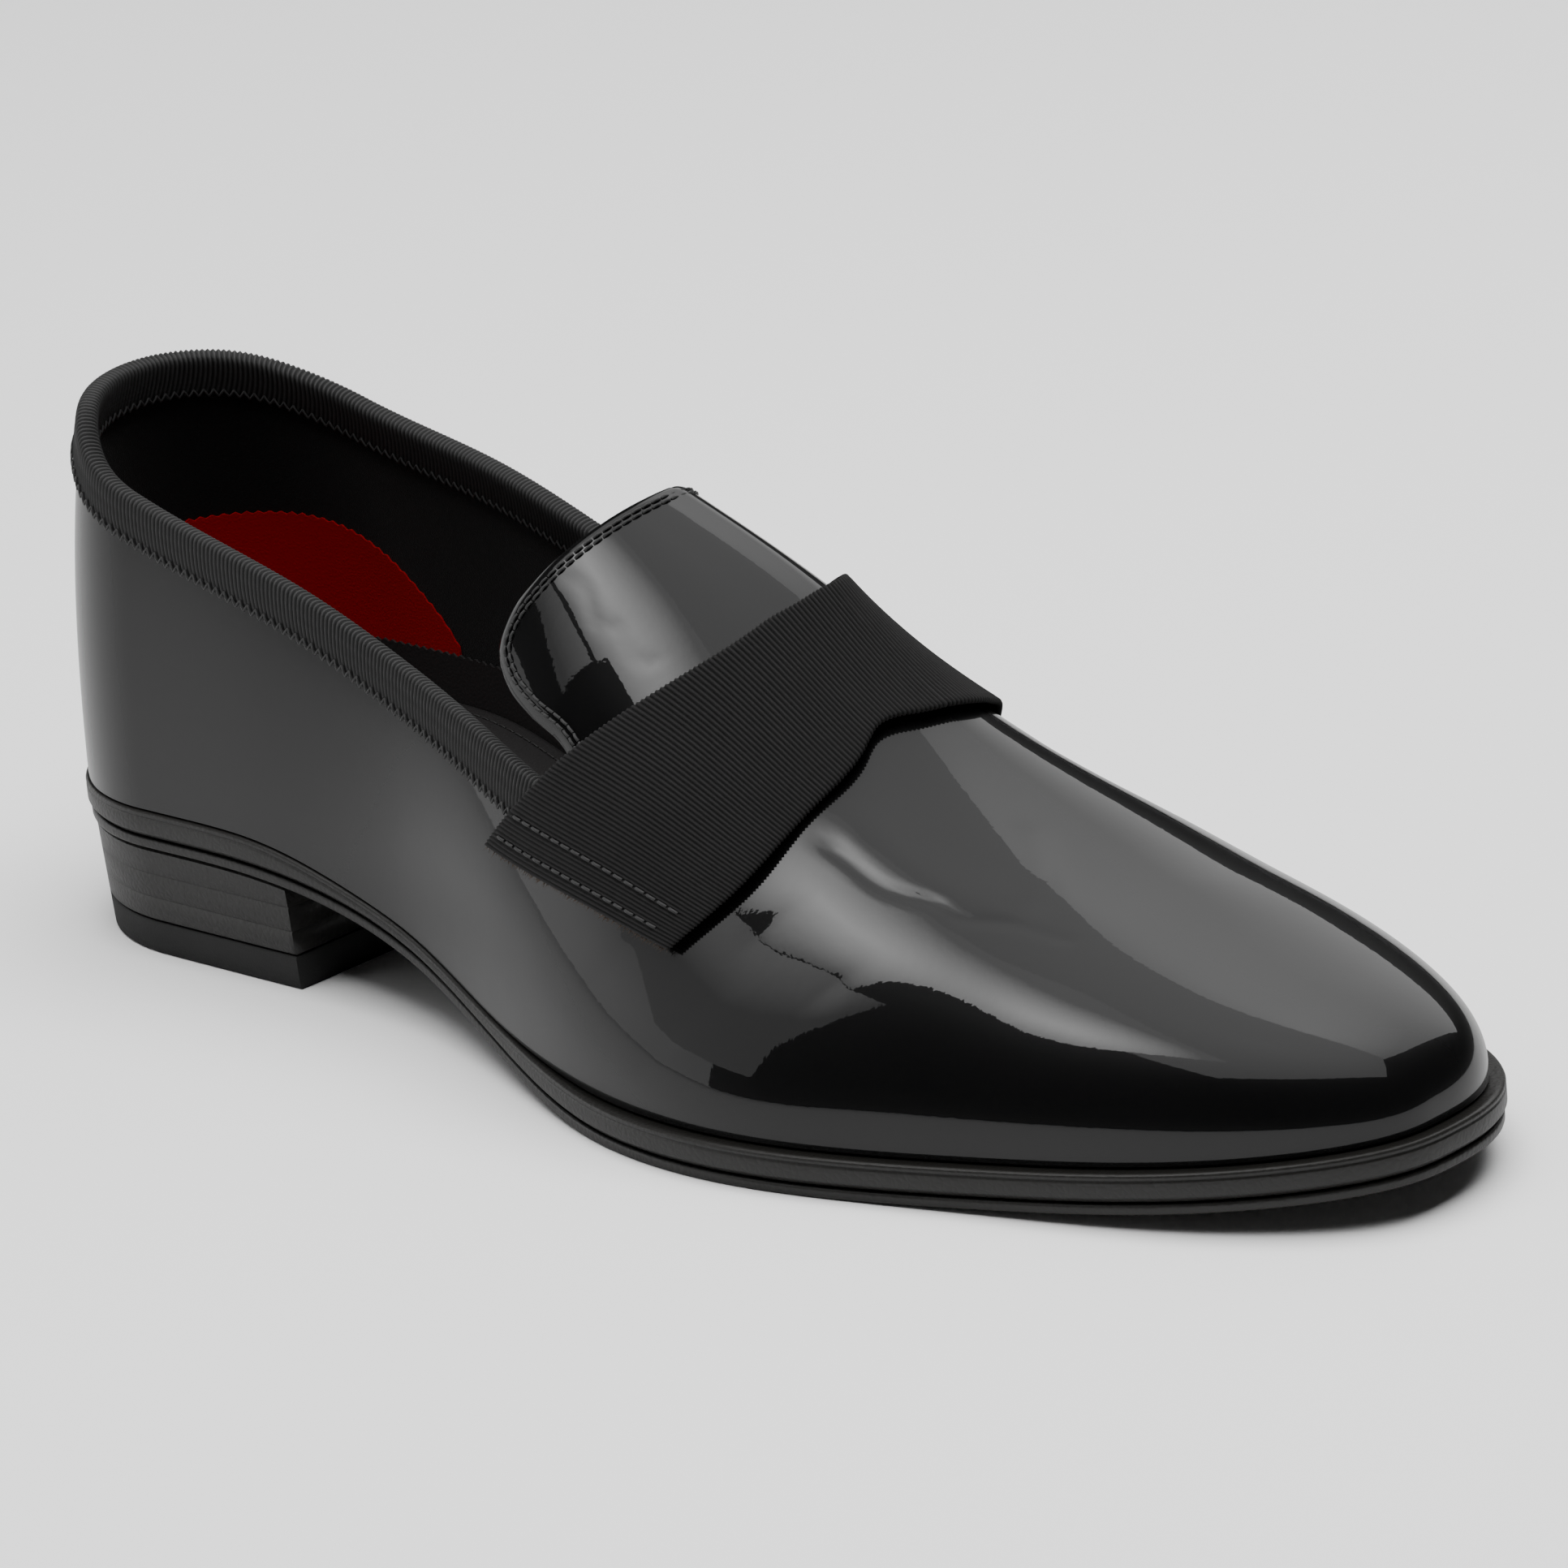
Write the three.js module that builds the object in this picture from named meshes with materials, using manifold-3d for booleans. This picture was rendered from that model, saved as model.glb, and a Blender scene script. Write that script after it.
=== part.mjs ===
// Opera pump for the right foot: a patent leather slip-on with a bound topline, a ribbon bow
// across the vamp and a thin leather sole on a low stacked heel.
// Millimetres. X runs from the back of the heel to the toe, Y from the outer to the inner side
// of the foot, Z up from the floor.
import * as THREE from 'three';
import { mergeVertices } from 'three/addons/utils/BufferGeometryUtils.js';
import Module from 'manifold-3d';

// Sizes of the last
const LENGTH = 292;        // back of the heel to the tip of the toe, along the feather line
const BALL_WIDTH = 99;     // across the ball of the foot
const INSTEP_RISE = 71;    // insole to the top of the instep, under the bow
const BACK_HEIGHT = 66;    // insole to the topline at the back of the heel
const HEEL_HEIGHT = 20;    // floor to the outsole at the back
const TOE_SPRING = 7;      // floor to the outsole at the toe

// Sizes of the pieces
const UPPER_WALL = 2.0;
const BINDING_THICK = 0.7;
const BINDING_DEPTH = 7.0;
const BOW_THICK = 1.1;
const BOW_LIFT = 4.0;      // what a curl or lift of one would raise an edge of the bow off the vamp
const INSOLE_THICK = 2.5;
const MIDSOLE_THICK = 4.8;
const WAIST_THICK = 3.0;   // the midsole where it is thinned under the waist
const OUTSOLE_THICK = 1.8;
const TOP_PIECE_THICK = 6.0;
const HEEL_LENGTH = 70;    // back of the heel to its breast
const HEEL_INSET = 1.0;    // the heel inside the edge of the sole
const HEEL_TAPER = 1.2;    // how much each side of it narrows towards the floor
const BREAST_HOLLOW = 3.0; // how far the breast curves in
const WELT_FORE = 2.6;     // the sole past the upper around the forefoot
const WELT_WAIST = 0.6;    // and at the waist and heel
const EDGE_ROUND = 0.9;    // rounded rim of the midsole
const BEVEL = 1.0;         // under edge of the midsole
const LIP = 0.5;           // the outsole past that bevel
const SEAT = 0.3;          // clearance between two pieces that meet

// How finely the forms are cut into faces
const HEEL_STEPS = 6;
const MID_STEPS = 22;
const TOE_STEPS = 9;
const AROUND_STEPS = 10;
const TOPLINE_STEPS = 26;
const TONGUE_STEPS = 24;
const BOW_ACROSS = 32;
const BOW_ALONG = 6;
const BREAST_STEPS = 8;

// Where the ends of the last turn, as shares of its length
const HEEL_TURN = 0.115;
const TOE_TURN = 0.20;
const HEEL_POLE = 0.115;
const TOE_POLE = 0.80;
const POLE_BLEND = 0.02;
const TOE_POWER = 2.5;

// Where the sole leaves and meets the floor, as shares of the length
const PITCH_START = 0.14;
const PITCH_END = 0.59;
const SPRING_START = 0.67;

// Sections of the last from heel to toe. lateral, medial, crownY and bulge are shares of the ball
// width, rise is a share of the instep rise; low and high say how full each section is.
const SECTION_COLUMNS = ['at', 'lateral', 'medial', 'rise', 'crownY', 'bulge', 'low', 'high'];
const SECTIONS = [
  [0.000, 0.325, 0.325, 1.377, 0.000, -0.005, 0.50, 0.75],
  [0.110, 0.320, 0.325, 1.377, 0.000, -0.005, 0.50, 0.75],
  [0.220, 0.312, 0.320, 1.276, 0.005, 0.010, 0.50, 0.68],
  [0.340, 0.325, 0.280, 1.207, 0.015, 0.030, 0.48, 0.52],
  [0.445, 0.415, 0.276, 1.140, 0.030, 0.045, 0.46, 0.46],
  [0.550, 0.500, 0.352, 0.992, 0.055, 0.035, 0.44, 0.37],
  [0.640, 0.512, 0.455, 0.765, 0.055, 0.020, 0.40, 0.42],
  [0.730, 0.450, 0.485, 0.578, 0.055, 0.015, 0.46, 0.57],
  [0.825, 0.365, 0.448, 0.420, 0.050, 0.015, 0.50, 0.65],
  [0.915, 0.300, 0.388, 0.309, 0.045, 0.015, 0.54, 0.66],
  [1.000, 0.235, 0.335, 0.208, 0.040, 0.015, 0.56, 0.66],
];

// Height of the topline above the insole, as shares of the back height
const TOPLINE_COLUMNS = ['at', 'lateral', 'medial'];
const TOPLINE = [
  [0.000, 1.000, 1.000],
  [0.030, 0.972, 0.972],
  [0.070, 0.890, 0.912],
  [0.120, 0.815, 0.845],
  [0.180, 0.748, 0.790],
  [0.250, 0.692, 0.765],
  [0.330, 0.650, 0.762],
  [0.410, 0.650, 0.758],
  [0.470, 0.636, 0.748],
  [0.520, 0.615, 0.728],
];

// Edge of the tongue in side view, from the notch under the bow, where the topline ends, up to
// the crown: shares of the length, and of the instep rise above the insole at the notch
const TONGUE_COLUMNS = ['lateralX', 'lateralZ', 'medialX', 'medialZ'];
const TONGUE = [
  [0.521, 0.640, 0.521, 0.715],
  [0.484, 0.697, 0.480, 0.790],
  [0.453, 0.747, 0.447, 0.852],
  [0.431, 0.793, 0.427, 0.918],
  [0.417, 0.859, 0.421, 0.972],
  [0.418, 0.937, 0.423, 1.028],
  [0.427, 1.008, 0.433, 1.105],
  [0.439, 1.075, 0.443, 1.118],
  [0.456, 1.148, 0.456, 1.148],
  [0.478, 1.215, 0.478, 1.215],
  [0.500, 1.280, 0.500, 1.280],
];

// The bow from its outer to its inner end: rear and front edge as shares of the length, and how
// far each of them curls up off the vamp, as shares of the lift
const BOW_COLUMNS = ['at', 'rear', 'front', 'curl', 'lift'];
const BOW = [
  [0.00, 0.445, 0.597, 0.00, 0.00],
  [0.12, 0.488, 0.624, 0.05, 0.04],
  [0.26, 0.532, 0.637, 0.15, 0.12],
  [0.38, 0.556, 0.641, 0.30, 0.32],
  [0.42, 0.56, 0.6375, 0.38, 0.36],
  [0.45, 0.563, 0.639, 0.42, 0.34],
  [0.50, 0.565, 0.6455, 0.50, 0.30],
  [0.56, 0.564, 0.6495, 0.54, 0.28],
  [0.63, 0.556, 0.65, 0.50, 0.28],
  [0.72, 0.536, 0.6435, 0.25, 0.19],
  [0.84, 0.50, 0.624, 0.05, 0.05],
  [1.00, 0.443, 0.593, 0.00, 0.00],
];
const BOW_OUTER = { rear: 0.27, front: 0.312 };
const BOW_INNER = { rear: 1.644, front: 1.569 };

const wasm = await Module();
wasm.setup();

function column(names, rows, name) {
  return rows.map((row) => row[names.indexOf(name)]);
}

// Natural cubic spline through the rows of a table
function spline(xs, ys) {
  const n = xs.length;
  const h = xs.slice(1).map((x, i) => x - xs[i]);
  const diag = new Array(n).fill(1);
  const up = new Array(n).fill(0);
  const rhs = new Array(n).fill(0);
  for (let i = 1; i < n - 1; i++) {
    const w = h[i - 1] / diag[i - 1];
    const low = i === 1 ? 0 : w;
    diag[i] = 2 * (h[i - 1] + h[i]) - low * up[i - 1];
    up[i] = h[i];
    rhs[i] = 6 * ((ys[i + 1] - ys[i]) / h[i] - (ys[i] - ys[i - 1]) / h[i - 1]) - low * rhs[i - 1];
  }
  const m = new Array(n).fill(0);
  for (let i = n - 2; i > 0; i--) {
    m[i] = (rhs[i] - up[i] * m[i + 1]) / diag[i];
  }
  return (x) => {
    let k = 0;
    while (k < n - 2 && x > xs[k + 1]) {
      k++;
    }
    const a = (xs[k + 1] - x) / h[k];
    const b = 1 - a;
    const bend = (a ** 3 - a) * m[k] + (b ** 3 - b) * m[k + 1];
    return a * ys[k] + b * ys[k + 1] + (bend * h[k] ** 2) / 6;
  };
}

function splines(names, rows) {
  const xs = column(names, rows, names[0]);
  const result = {};
  for (const name of names.slice(1)) {
    result[name] = spline(xs, column(names, rows, name));
  }
  return result;
}

const section = splines(SECTION_COLUMNS, SECTIONS);
const topline = splines(TOPLINE_COLUMNS, TOPLINE);
const bowShape = splines(BOW_COLUMNS, BOW);

function clamp(x, low, high) {
  return Math.min(Math.max(x, low), high);
}

function mix(a, b, t) {
  return a + (b - a) * t;
}

function smooth(start, end, x) {
  const t = clamp((x - start) / (end - start), 0, 1);
  return t ** 3 * (10 - 15 * t + 6 * t * t);
}

// Height of the outsole's underside above the floor
function tread(s) {
  const pitch = HEEL_HEIGHT * (1 - smooth(PITCH_START, PITCH_END, s));
  const spring = TOE_SPRING * Math.max(0, (s - SPRING_START) / (1 - SPRING_START)) ** 2;
  return pitch + spring;
}

// The foot's plane, a full sole above the tread: the heights of the upper are measured from it
const SOLE_STACK = OUTSOLE_THICK + MIDSOLE_THICK + 2 * SEAT;

function footPlane(s) {
  return tread(s) + SOLE_STACK;
}

// The feather line, where the upper meets the sole, follows the sole as it thins at the waist
function thinning(s) {
  return (MIDSOLE_THICK - WAIST_THICK) * smooth(0.18, 0.32, s) * (1 - smooth(0.36, 0.54, s));
}

function feather(s) {
  return footPlane(s) - thinning(s);
}

// Stations run with an even angle round the heel and the toe
const STEPS = HEEL_STEPS + MID_STEPS + TOE_STEPS;

function station(k) {
  if (k <= HEEL_STEPS) {
    return HEEL_TURN * (1 - Math.cos(((k / HEEL_STEPS) * Math.PI) / 2));
  }
  if (k <= HEEL_STEPS + MID_STEPS) {
    return mix(HEEL_TURN, 1 - TOE_TURN, (k - HEEL_STEPS) / MID_STEPS);
  }
  const turn = (k - HEEL_STEPS - MID_STEPS) / TOE_STEPS;
  return 1 - TOE_TURN + TOE_TURN * Math.sin((turn * Math.PI) / 2);
}

// Half width at a station; side is -1 on the outer and +1 on the inner side of the foot
function halfWidth(s, side) {
  const heel = clamp((HEEL_TURN - s) / HEEL_TURN, 0, 1);
  const toe = clamp((s - 1 + TOE_TURN) / TOE_TURN, 0, 1);
  const round = Math.sqrt(1 - heel ** 2) * (1 - toe ** TOE_POWER) ** (1 / TOE_POWER);
  const share = side < 0 ? section.lateral(s) : section.medial(s);
  return share * BALL_WIDTH * round;
}

// Each section of the last leans to the nearer pole at heel and toe, so that the ends are round
function softMax(x) {
  return POLE_BLEND * Math.log1p(Math.exp(x / POLE_BLEND));
}

function centre(s) {
  const c = HEEL_POLE + softMax(s - HEEL_POLE) - softMax(s - TOE_POLE);
  return s > TOE_POLE + 5 * POLE_BLEND ? TOE_POLE : c;
}

function crown(c) {
  return footPlane(c) + section.rise(c) * INSTEP_RISE;
}

function crownSlope(c) {
  const step = 1e-3;
  return (crown(c + step) - crown(c - step)) / (2 * step * LENGTH);
}

// A point of the last: t runs from 0 at the feather line to 1 at the crown
function lastPoint(s, side, t) {
  const c = centre(s);
  const foot = new THREE.Vector3(s * LENGTH, side * halfWidth(s, side), feather(s));
  const top = new THREE.Vector3(c * LENGTH, section.crownY(c) * BALL_WIDTH, crown(c));
  const out = new THREE.Vector3(foot.x - top.x, foot.y - top.y, 0);
  const rise = top.z - foot.z;
  const low = foot.clone().addScaledVector(out.clone().normalize(), section.bulge(s) * BALL_WIDTH);
  low.z += section.low(s) * rise;
  const high = top.clone().addScaledVector(out, section.high(s));
  high.z += crownSlope(c) * out.x * section.high(s);
  return new THREE.CubicBezierCurve3(foot, low, high, top).getPoint(t);
}

function lastNormal(k, sideAsked, t) {
  const s = station(k);
  if (t > 0.999) {
    return new THREE.Vector3(-crownSlope(centre(s)), 0, 1).normalize();
  }
  const atEnd = k === 0 || k === STEPS;
  const side = atEnd ? -1 : sideAsked;
  const step = 0.05;
  const before = Math.max(0, k - step);
  const after = Math.min(STEPS, k + step);
  const along = lastPoint(station(after), side, t).sub(lastPoint(station(before), side, t));
  const up = lastPoint(s, side, Math.min(t + 0.01, 1)).sub(lastPoint(s, side, Math.max(t - 0.01, 0)));
  const normal = along.cross(up).multiplyScalar(-side);
  if (atEnd) {
    normal.y = 0;
  }
  return normal.normalize();
}

// The last grown by an offset, as a grid point at step k and share t
function skin(k, side, t, offset) {
  const point = lastPoint(station(k), side, t);
  return point.addScaledVector(lastNormal(k, side, t), offset);
}

// A closed geometry from triangles given as three points each
function solidGeometry(triangles) {
  const positions = [];
  for (const corner of triangles.flat()) {
    positions.push(corner.x, corner.y, corner.z);
  }
  const loose = new THREE.BufferGeometry();
  loose.setAttribute('position', new THREE.Float32BufferAttribute(positions, 3));
  const merged = mergeVertices(loose, 1e-3);
  const index = merged.index.array;
  const kept = [];
  for (let i = 0; i < index.length; i += 3) {
    const [a, b, c] = [index[i], index[i + 1], index[i + 2]];
    if (a !== b && b !== c && c !== a) {
      kept.push(a, b, c);
    }
  }
  merged.setIndex(kept);
  if (volume(merged) < 0) {
    merged.setIndex(flipped(kept));
  }
  return merged;
}

function flipped(index) {
  const result = [];
  for (let i = 0; i < index.length; i += 3) {
    result.push(index[i], index[i + 2], index[i + 1]);
  }
  return result;
}

function volume(geometry) {
  const p = geometry.attributes.position;
  const index = geometry.index.array;
  const [a, b, c] = [new THREE.Vector3(), new THREE.Vector3(), new THREE.Vector3()];
  let sum = 0;
  for (let i = 0; i < index.length; i += 3) {
    a.fromBufferAttribute(p, index[i]);
    b.fromBufferAttribute(p, index[i + 1]);
    c.fromBufferAttribute(p, index[i + 2]);
    sum += a.dot(b.cross(c)) / 6;
  }
  return sum;
}

function quad(a, b, c, d) {
  return [[a, b, c], [a, c, d]];
}

function toManifold(geometry) {
  const clean = geometry.clone();
  for (const name of Object.keys(clean.attributes)) {
    if (name !== 'position') {
      clean.deleteAttribute(name);
    }
  }
  const merged = mergeVertices(clean, 1e-4);
  const vertProperties = new Float32Array(merged.attributes.position.array);
  const triVerts = new Uint32Array(merged.index.array);
  return new wasm.Manifold(new wasm.Mesh({ numProp: 3, vertProperties, triVerts }));
}

function fromManifold(solid) {
  const mesh = solid.getMesh();
  const geometry = new THREE.BufferGeometry();
  geometry.setAttribute('position', new THREE.BufferAttribute(mesh.vertProperties, 3));
  geometry.setIndex(new THREE.BufferAttribute(mesh.triVerts, 1));
  return geometry;
}

// Closed dome of the last at an offset; drop lengthens it straight down below the feather line
function dome(offset, drop) {
  const loops = [];
  for (let j = 0; j <= AROUND_STEPS; j++) {
    loops.push([-1, 1].map((side) => {
      const line = [];
      for (let k = 0; k <= STEPS; k++) {
        line.push(skin(k, side, j / AROUND_STEPS, offset));
      }
      return line;
    }));
  }
  if (drop > 0) {
    const skirt = loops[0].map((line) => line.map((p) => p.clone().setZ(p.z - drop)));
    loops.unshift(skirt);
  }
  return toManifold(shellBetween(loops));
}

// Surface through pairs of outer and inner lines, closed by a strip below and one above
function shellBetween(loops) {
  const triangles = [];
  const count = loops[0][0].length - 1;
  for (let j = 0; j < loops.length - 1; j++) {
    for (let k = 0; k < count; k++) {
      for (const i of [0, 1]) {
        const [below, above] = [loops[j][i], loops[j + 1][i]];
        const strip = quad(below[k], below[k + 1], above[k + 1], above[k]);
        triangles.push(...(i === 0 ? strip : strip.map((t) => [t[0], t[2], t[1]])));
      }
    }
  }
  const [bottom, top] = [loops[0], loops[loops.length - 1]];
  for (let k = 0; k < count; k++) {
    triangles.push(...quad(bottom[0][k], bottom[1][k], bottom[1][k + 1], bottom[0][k + 1]));
    triangles.push(...quad(top[0][k], top[0][k + 1], top[1][k + 1], top[1][k]));
  }
  return solidGeometry(triangles);
}

// Side view curves of one side, as points of X and Z
const FAR = 60;            // well past any form that a cutter has to clear
const TOPLINE_END = TOPLINE[TOPLINE.length - 1][0];

function toplinePoint(side, s) {
  const share = side < 0 ? topline.lateral(s) : topline.medial(s);
  return new THREE.Vector2(s * LENGTH, footPlane(s) + share * BACK_HEIGHT);
}

function toplineCurve(side, lift, end) {
  const points = [new THREE.Vector2(-FAR, toplinePoint(side, 0).y + lift)];
  for (let i = 0; i <= TOPLINE_STEPS; i++) {
    const point = toplinePoint(side, (end * i) / TOPLINE_STEPS);
    points.push(new THREE.Vector2(point.x, point.y + lift));
  }
  return points;
}

function tongueCurve(side) {
  const names = side < 0 ? ['lateralX', 'lateralZ'] : ['medialX', 'medialZ'];
  const [xs, zs] = names.map((name) => column(TONGUE_COLUMNS, TONGUE, name));
  const plane = footPlane(TOPLINE_END);
  const knots = xs.map((x, i) => new THREE.Vector2(x * LENGTH, plane + zs[i] * INSTEP_RISE));
  knots[0].y = toplinePoint(side, TOPLINE_END).y;
  return new THREE.SplineCurve(knots).getPoints(TONGUE_STEPS);
}

// A side view outline carried out to one side from the middle plane
function sidePrism(points, side) {
  const shape = new THREE.Shape(points);
  const depth = BALL_WIDTH;
  const geometry = new THREE.ExtrudeGeometry(shape, { depth, bevelEnabled: false });
  geometry.rotateX(Math.PI / 2);
  geometry.translate(0, side < 0 ? 0 : depth, 0);
  return toManifold(geometry);
}

function openingCutter(side) {
  const edge = [...toplineCurve(side, 0, TOPLINE_END), ...tongueCurve(side)];
  const height = crown(HEEL_POLE) + FAR;
  edge.push(new THREE.Vector2(edge[edge.length - 1].x, height));
  edge.push(new THREE.Vector2(-FAR, height));
  return sidePrism(edge, side);
}

function upper() {
  const leather = dome(0, 0).subtract(dome(-UPPER_WALL, SOLE_STACK));
  return fromManifold(leather.subtract(openingCutter(-1)).subtract(openingCutter(1)));
}

// The ribbon folded over the topline: a band of side view, less the wall that it wraps
const BINDING_END = 0.487;

function bandPrism(low, high, end) {
  const halves = [-1, 1].map((side) => {
    const lower = toplineCurve(side, low, end);
    const upperEdge = toplineCurve(side, high, end).reverse();
    return sidePrism([...lower, ...upperEdge], side);
  });
  return halves[0].add(halves[1]);
}

function binding() {
  const outer = SEAT + BINDING_THICK;
  const ribbon = dome(outer, 0).subtract(dome(-UPPER_WALL - outer, SOLE_STACK));
  const wrapped = dome(SEAT, 0).subtract(dome(-UPPER_WALL - SEAT, SOLE_STACK));
  const band = ribbon.intersect(bandPrism(-BINDING_DEPTH, outer, BINDING_END));
  return fromManifold(band.subtract(wrapped.intersect(bandPrism(-FAR / 2, SEAT, TOPLINE_END))));
}

// The bow: a doubled ribbon laid across the vamp, its two long edges curled up off the leather.
// Its ends lie on the binding and its middle on the vamp.
const BOW_BASE = SEAT + BINDING_THICK + SEAT;
const BOW_EASE = 2.2;

function bowRest(v) {
  return mix(BOW_BASE, SEAT, smooth(0.10, 0.30, v) * (1 - smooth(0.70, 0.90, v)));
}

function stepOf(s) {
  return HEEL_STEPS + ((s - HEEL_TURN) / (1 - TOE_TURN - HEEL_TURN)) * MID_STEPS;
}

function bowPoint(v, w, height) {
  const s = mix(bowShape.rear(v), bowShape.front(v), w);
  const outer = mix(BOW_OUTER.rear, BOW_OUTER.front, w);
  const inner = mix(BOW_INNER.rear, BOW_INNER.front, w);
  const round = mix(outer, inner, v);
  const side = round < 1 ? -1 : 1;
  const t = round < 1 ? round : 2 - round;
  const front = Math.max(0, bowShape.lift(v)) * w ** BOW_EASE;
  const back = Math.max(0, bowShape.curl(v)) * (1 - w) ** BOW_EASE;
  const rest = bowRest(v) + BOW_LIFT * (front + back);
  return skin(stepOf(s), side, Math.min(t, 1), rest + height);
}

function bow() {
  const grid = [0, BOW_THICK].map((height) => {
    const rows = [];
    for (let i = 0; i <= BOW_ACROSS; i++) {
      const row = [];
      for (let j = 0; j <= BOW_ALONG; j++) {
        row.push(bowPoint(i / BOW_ACROSS, j / BOW_ALONG, height));
      }
      rows.push(row);
    }
    return rows;
  });
  return slabBetween(grid[0], grid[1]);
}

// Closed sheet between two grids of points
function slabBetween(low, high) {
  const [rows, cols] = [low.length - 1, low[0].length - 1];
  const triangles = [];
  for (let i = 0; i < rows; i++) {
    for (let j = 0; j < cols; j++) {
      triangles.push(...quad(low[i][j], low[i][j + 1], low[i + 1][j + 1], low[i + 1][j]));
      triangles.push(...quad(high[i][j], high[i + 1][j], high[i + 1][j + 1], high[i][j + 1]));
    }
    triangles.push(...quad(low[i][0], low[i + 1][0], high[i + 1][0], high[i][0]));
    triangles.push(...quad(low[i][cols], high[i][cols], high[i + 1][cols], low[i + 1][cols]));
  }
  for (let j = 0; j < cols; j++) {
    triangles.push(...quad(low[0][j], high[0][j], high[0][j + 1], low[0][j + 1]));
    triangles.push(...quad(low[rows][j], low[rows][j + 1], high[rows][j + 1], high[rows][j]));
  }
  return solidGeometry(triangles);
}

// How far the sole stands past the feather line: little at the waist, more round the forefoot
function welt(s) {
  return mix(WELT_WAIST, WELT_FORE, smooth(0.40, 0.62, s));
}

// Outline of a sole layer at step k, grown past the feather line
function outline(k, side, grow) {
  const s = station(k);
  const edge = lastPoint(s, side, 0);
  const step = 0.05;
  const before = Math.max(0, k - step);
  const after = Math.min(STEPS, k + step);
  const along = lastPoint(station(after), side, 0).sub(lastPoint(station(before), side, 0));
  const out = new THREE.Vector3(-along.y * side, along.x * side, 0);
  if (k === 0 || k === STEPS) {
    out.y = 0;
  }
  out.normalize();
  return new THREE.Vector3(edge.x + out.x * grow, edge.y + out.y * grow, 0);
}

// A layer of the sole from rows of its edge: how far out of the outline, and the height
function layer(rows, growth) {
  const loops = rows.map((row) => [-1, 1].map((side) => {
    const line = [];
    for (let k = 0; k <= STEPS; k++) {
      const s = station(k);
      const point = outline(k, side, growth(s) + row.out);
      line.push(point.setZ(row.z(s)));
    }
    return line;
  }));
  return shellBetween(loops.reverse());
}

function midsole() {
  const rows = [
    { out: -EDGE_ROUND, z: (s) => feather(s) - SEAT },
    { out: -EDGE_ROUND / 4, z: (s) => feather(s) - SEAT - EDGE_ROUND / 3 },
    { out: 0, z: (s) => feather(s) - SEAT - EDGE_ROUND },
    { out: 0, z: (s) => tread(s) + OUTSOLE_THICK + SEAT + BEVEL },
    { out: -BEVEL, z: (s) => tread(s) + OUTSOLE_THICK + SEAT },
  ];
  return layer(rows, welt);
}

function outsole() {
  const rows = [
    { out: -BEVEL, z: (s) => tread(s) + OUTSOLE_THICK },
    { out: LIP - BEVEL, z: (s) => tread(s) + OUTSOLE_THICK * 0.7 },
    { out: LIP - BEVEL, z: (s) => tread(s) + OUTSOLE_THICK * 0.2 },
    { out: -BEVEL, z: tread },
  ];
  return layer(rows, welt);
}

function insole() {
  const rows = [
    { out: 0, z: (s) => feather(s) + INSOLE_THICK },
    { out: 0, z: feather },
  ];
  return layer(rows, () => -UPPER_WALL - SEAT);
}

// Heel: the rear of the sole's outline, closed by a slightly hollow breast
function heelBlock(lowZ, highZ) {
  const full = layer([
    { out: 0, z: () => HEEL_HEIGHT },
    { out: -HEEL_TAPER, z: () => 0 },
  ], () => WELT_WAIST - HEEL_INSET);
  const half = BALL_WIDTH;
  const cut = new THREE.Shape();
  cut.moveTo(-FAR, -half);
  cut.lineTo(HEEL_LENGTH, -half);
  cut.quadraticCurveTo(HEEL_LENGTH - 2 * BREAST_HOLLOW, 0, HEEL_LENGTH, half);
  cut.lineTo(-FAR, half);
  const slab = new THREE.ExtrudeGeometry(cut, {
    depth: highZ - lowZ,
    bevelEnabled: false,
    curveSegments: BREAST_STEPS,
  });
  slab.translate(0, 0, lowZ);
  return toManifold(full).intersect(toManifold(slab));
}

// The heel's seat follows the underside of the outsole
function heelBase() {
  const seat = [new THREE.Vector2(-FAR, HEEL_HEIGHT - SEAT)];
  for (let k = HEEL_STEPS; k < HEEL_STEPS + MID_STEPS; k++) {
    seat.push(new THREE.Vector2(station(k) * LENGTH, tread(station(k)) - SEAT));
  }
  seat.push(new THREE.Vector2(LENGTH, HEEL_HEIGHT + FAR));
  seat.push(new THREE.Vector2(-FAR, HEEL_HEIGHT + FAR));
  const above = sidePrism(seat, -1).add(sidePrism(seat, 1));
  return fromManifold(heelBlock(TOP_PIECE_THICK + SEAT, HEEL_HEIGHT).subtract(above));
}

function heelTopPiece() {
  return fromManifold(heelBlock(0, TOP_PIECE_THICK));
}

const FINISHES = {
  patent: { color: 0x0b0b0c, roughness: 0.06, metalness: 0 },
  grosgrain: { color: 0x1c1c1d, roughness: 0.85, metalness: 0 },
  lining: { color: 0x161414, roughness: 0.6, metalness: 0 },
  edge: { color: 0x26241f, roughness: 0.55, metalness: 0 },
  rubber: { color: 0x121212, roughness: 0.8, metalness: 0 },
};

function piece(name, geometry, finish) {
  const mesh = new THREE.Mesh(geometry, new THREE.MeshStandardMaterial(FINISHES[finish]));
  mesh.name = name;
  return mesh;
}

const pump = new THREE.Group();
pump.add(piece('upper', upper(), 'patent'));
pump.add(piece('binding', binding(), 'grosgrain'));
pump.add(piece('bow', bow(), 'grosgrain'));
pump.add(piece('insole', insole(), 'lining'));
pump.add(piece('midsole', midsole(), 'edge'));
pump.add(piece('outsole', outsole(), 'edge'));
pump.add(piece('heel_base', heelBase(), 'edge'));
pump.add(piece('heel_top_piece', heelTopPiece(), 'rubber'));

// The pump stands on the floor with the origin under the middle of its box
const box = new THREE.Box3().setFromObject(pump);
const middle = box.getCenter(new THREE.Vector3());
pump.position.set(-middle.x, -middle.y, -box.min.z);

export default pump;
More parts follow.
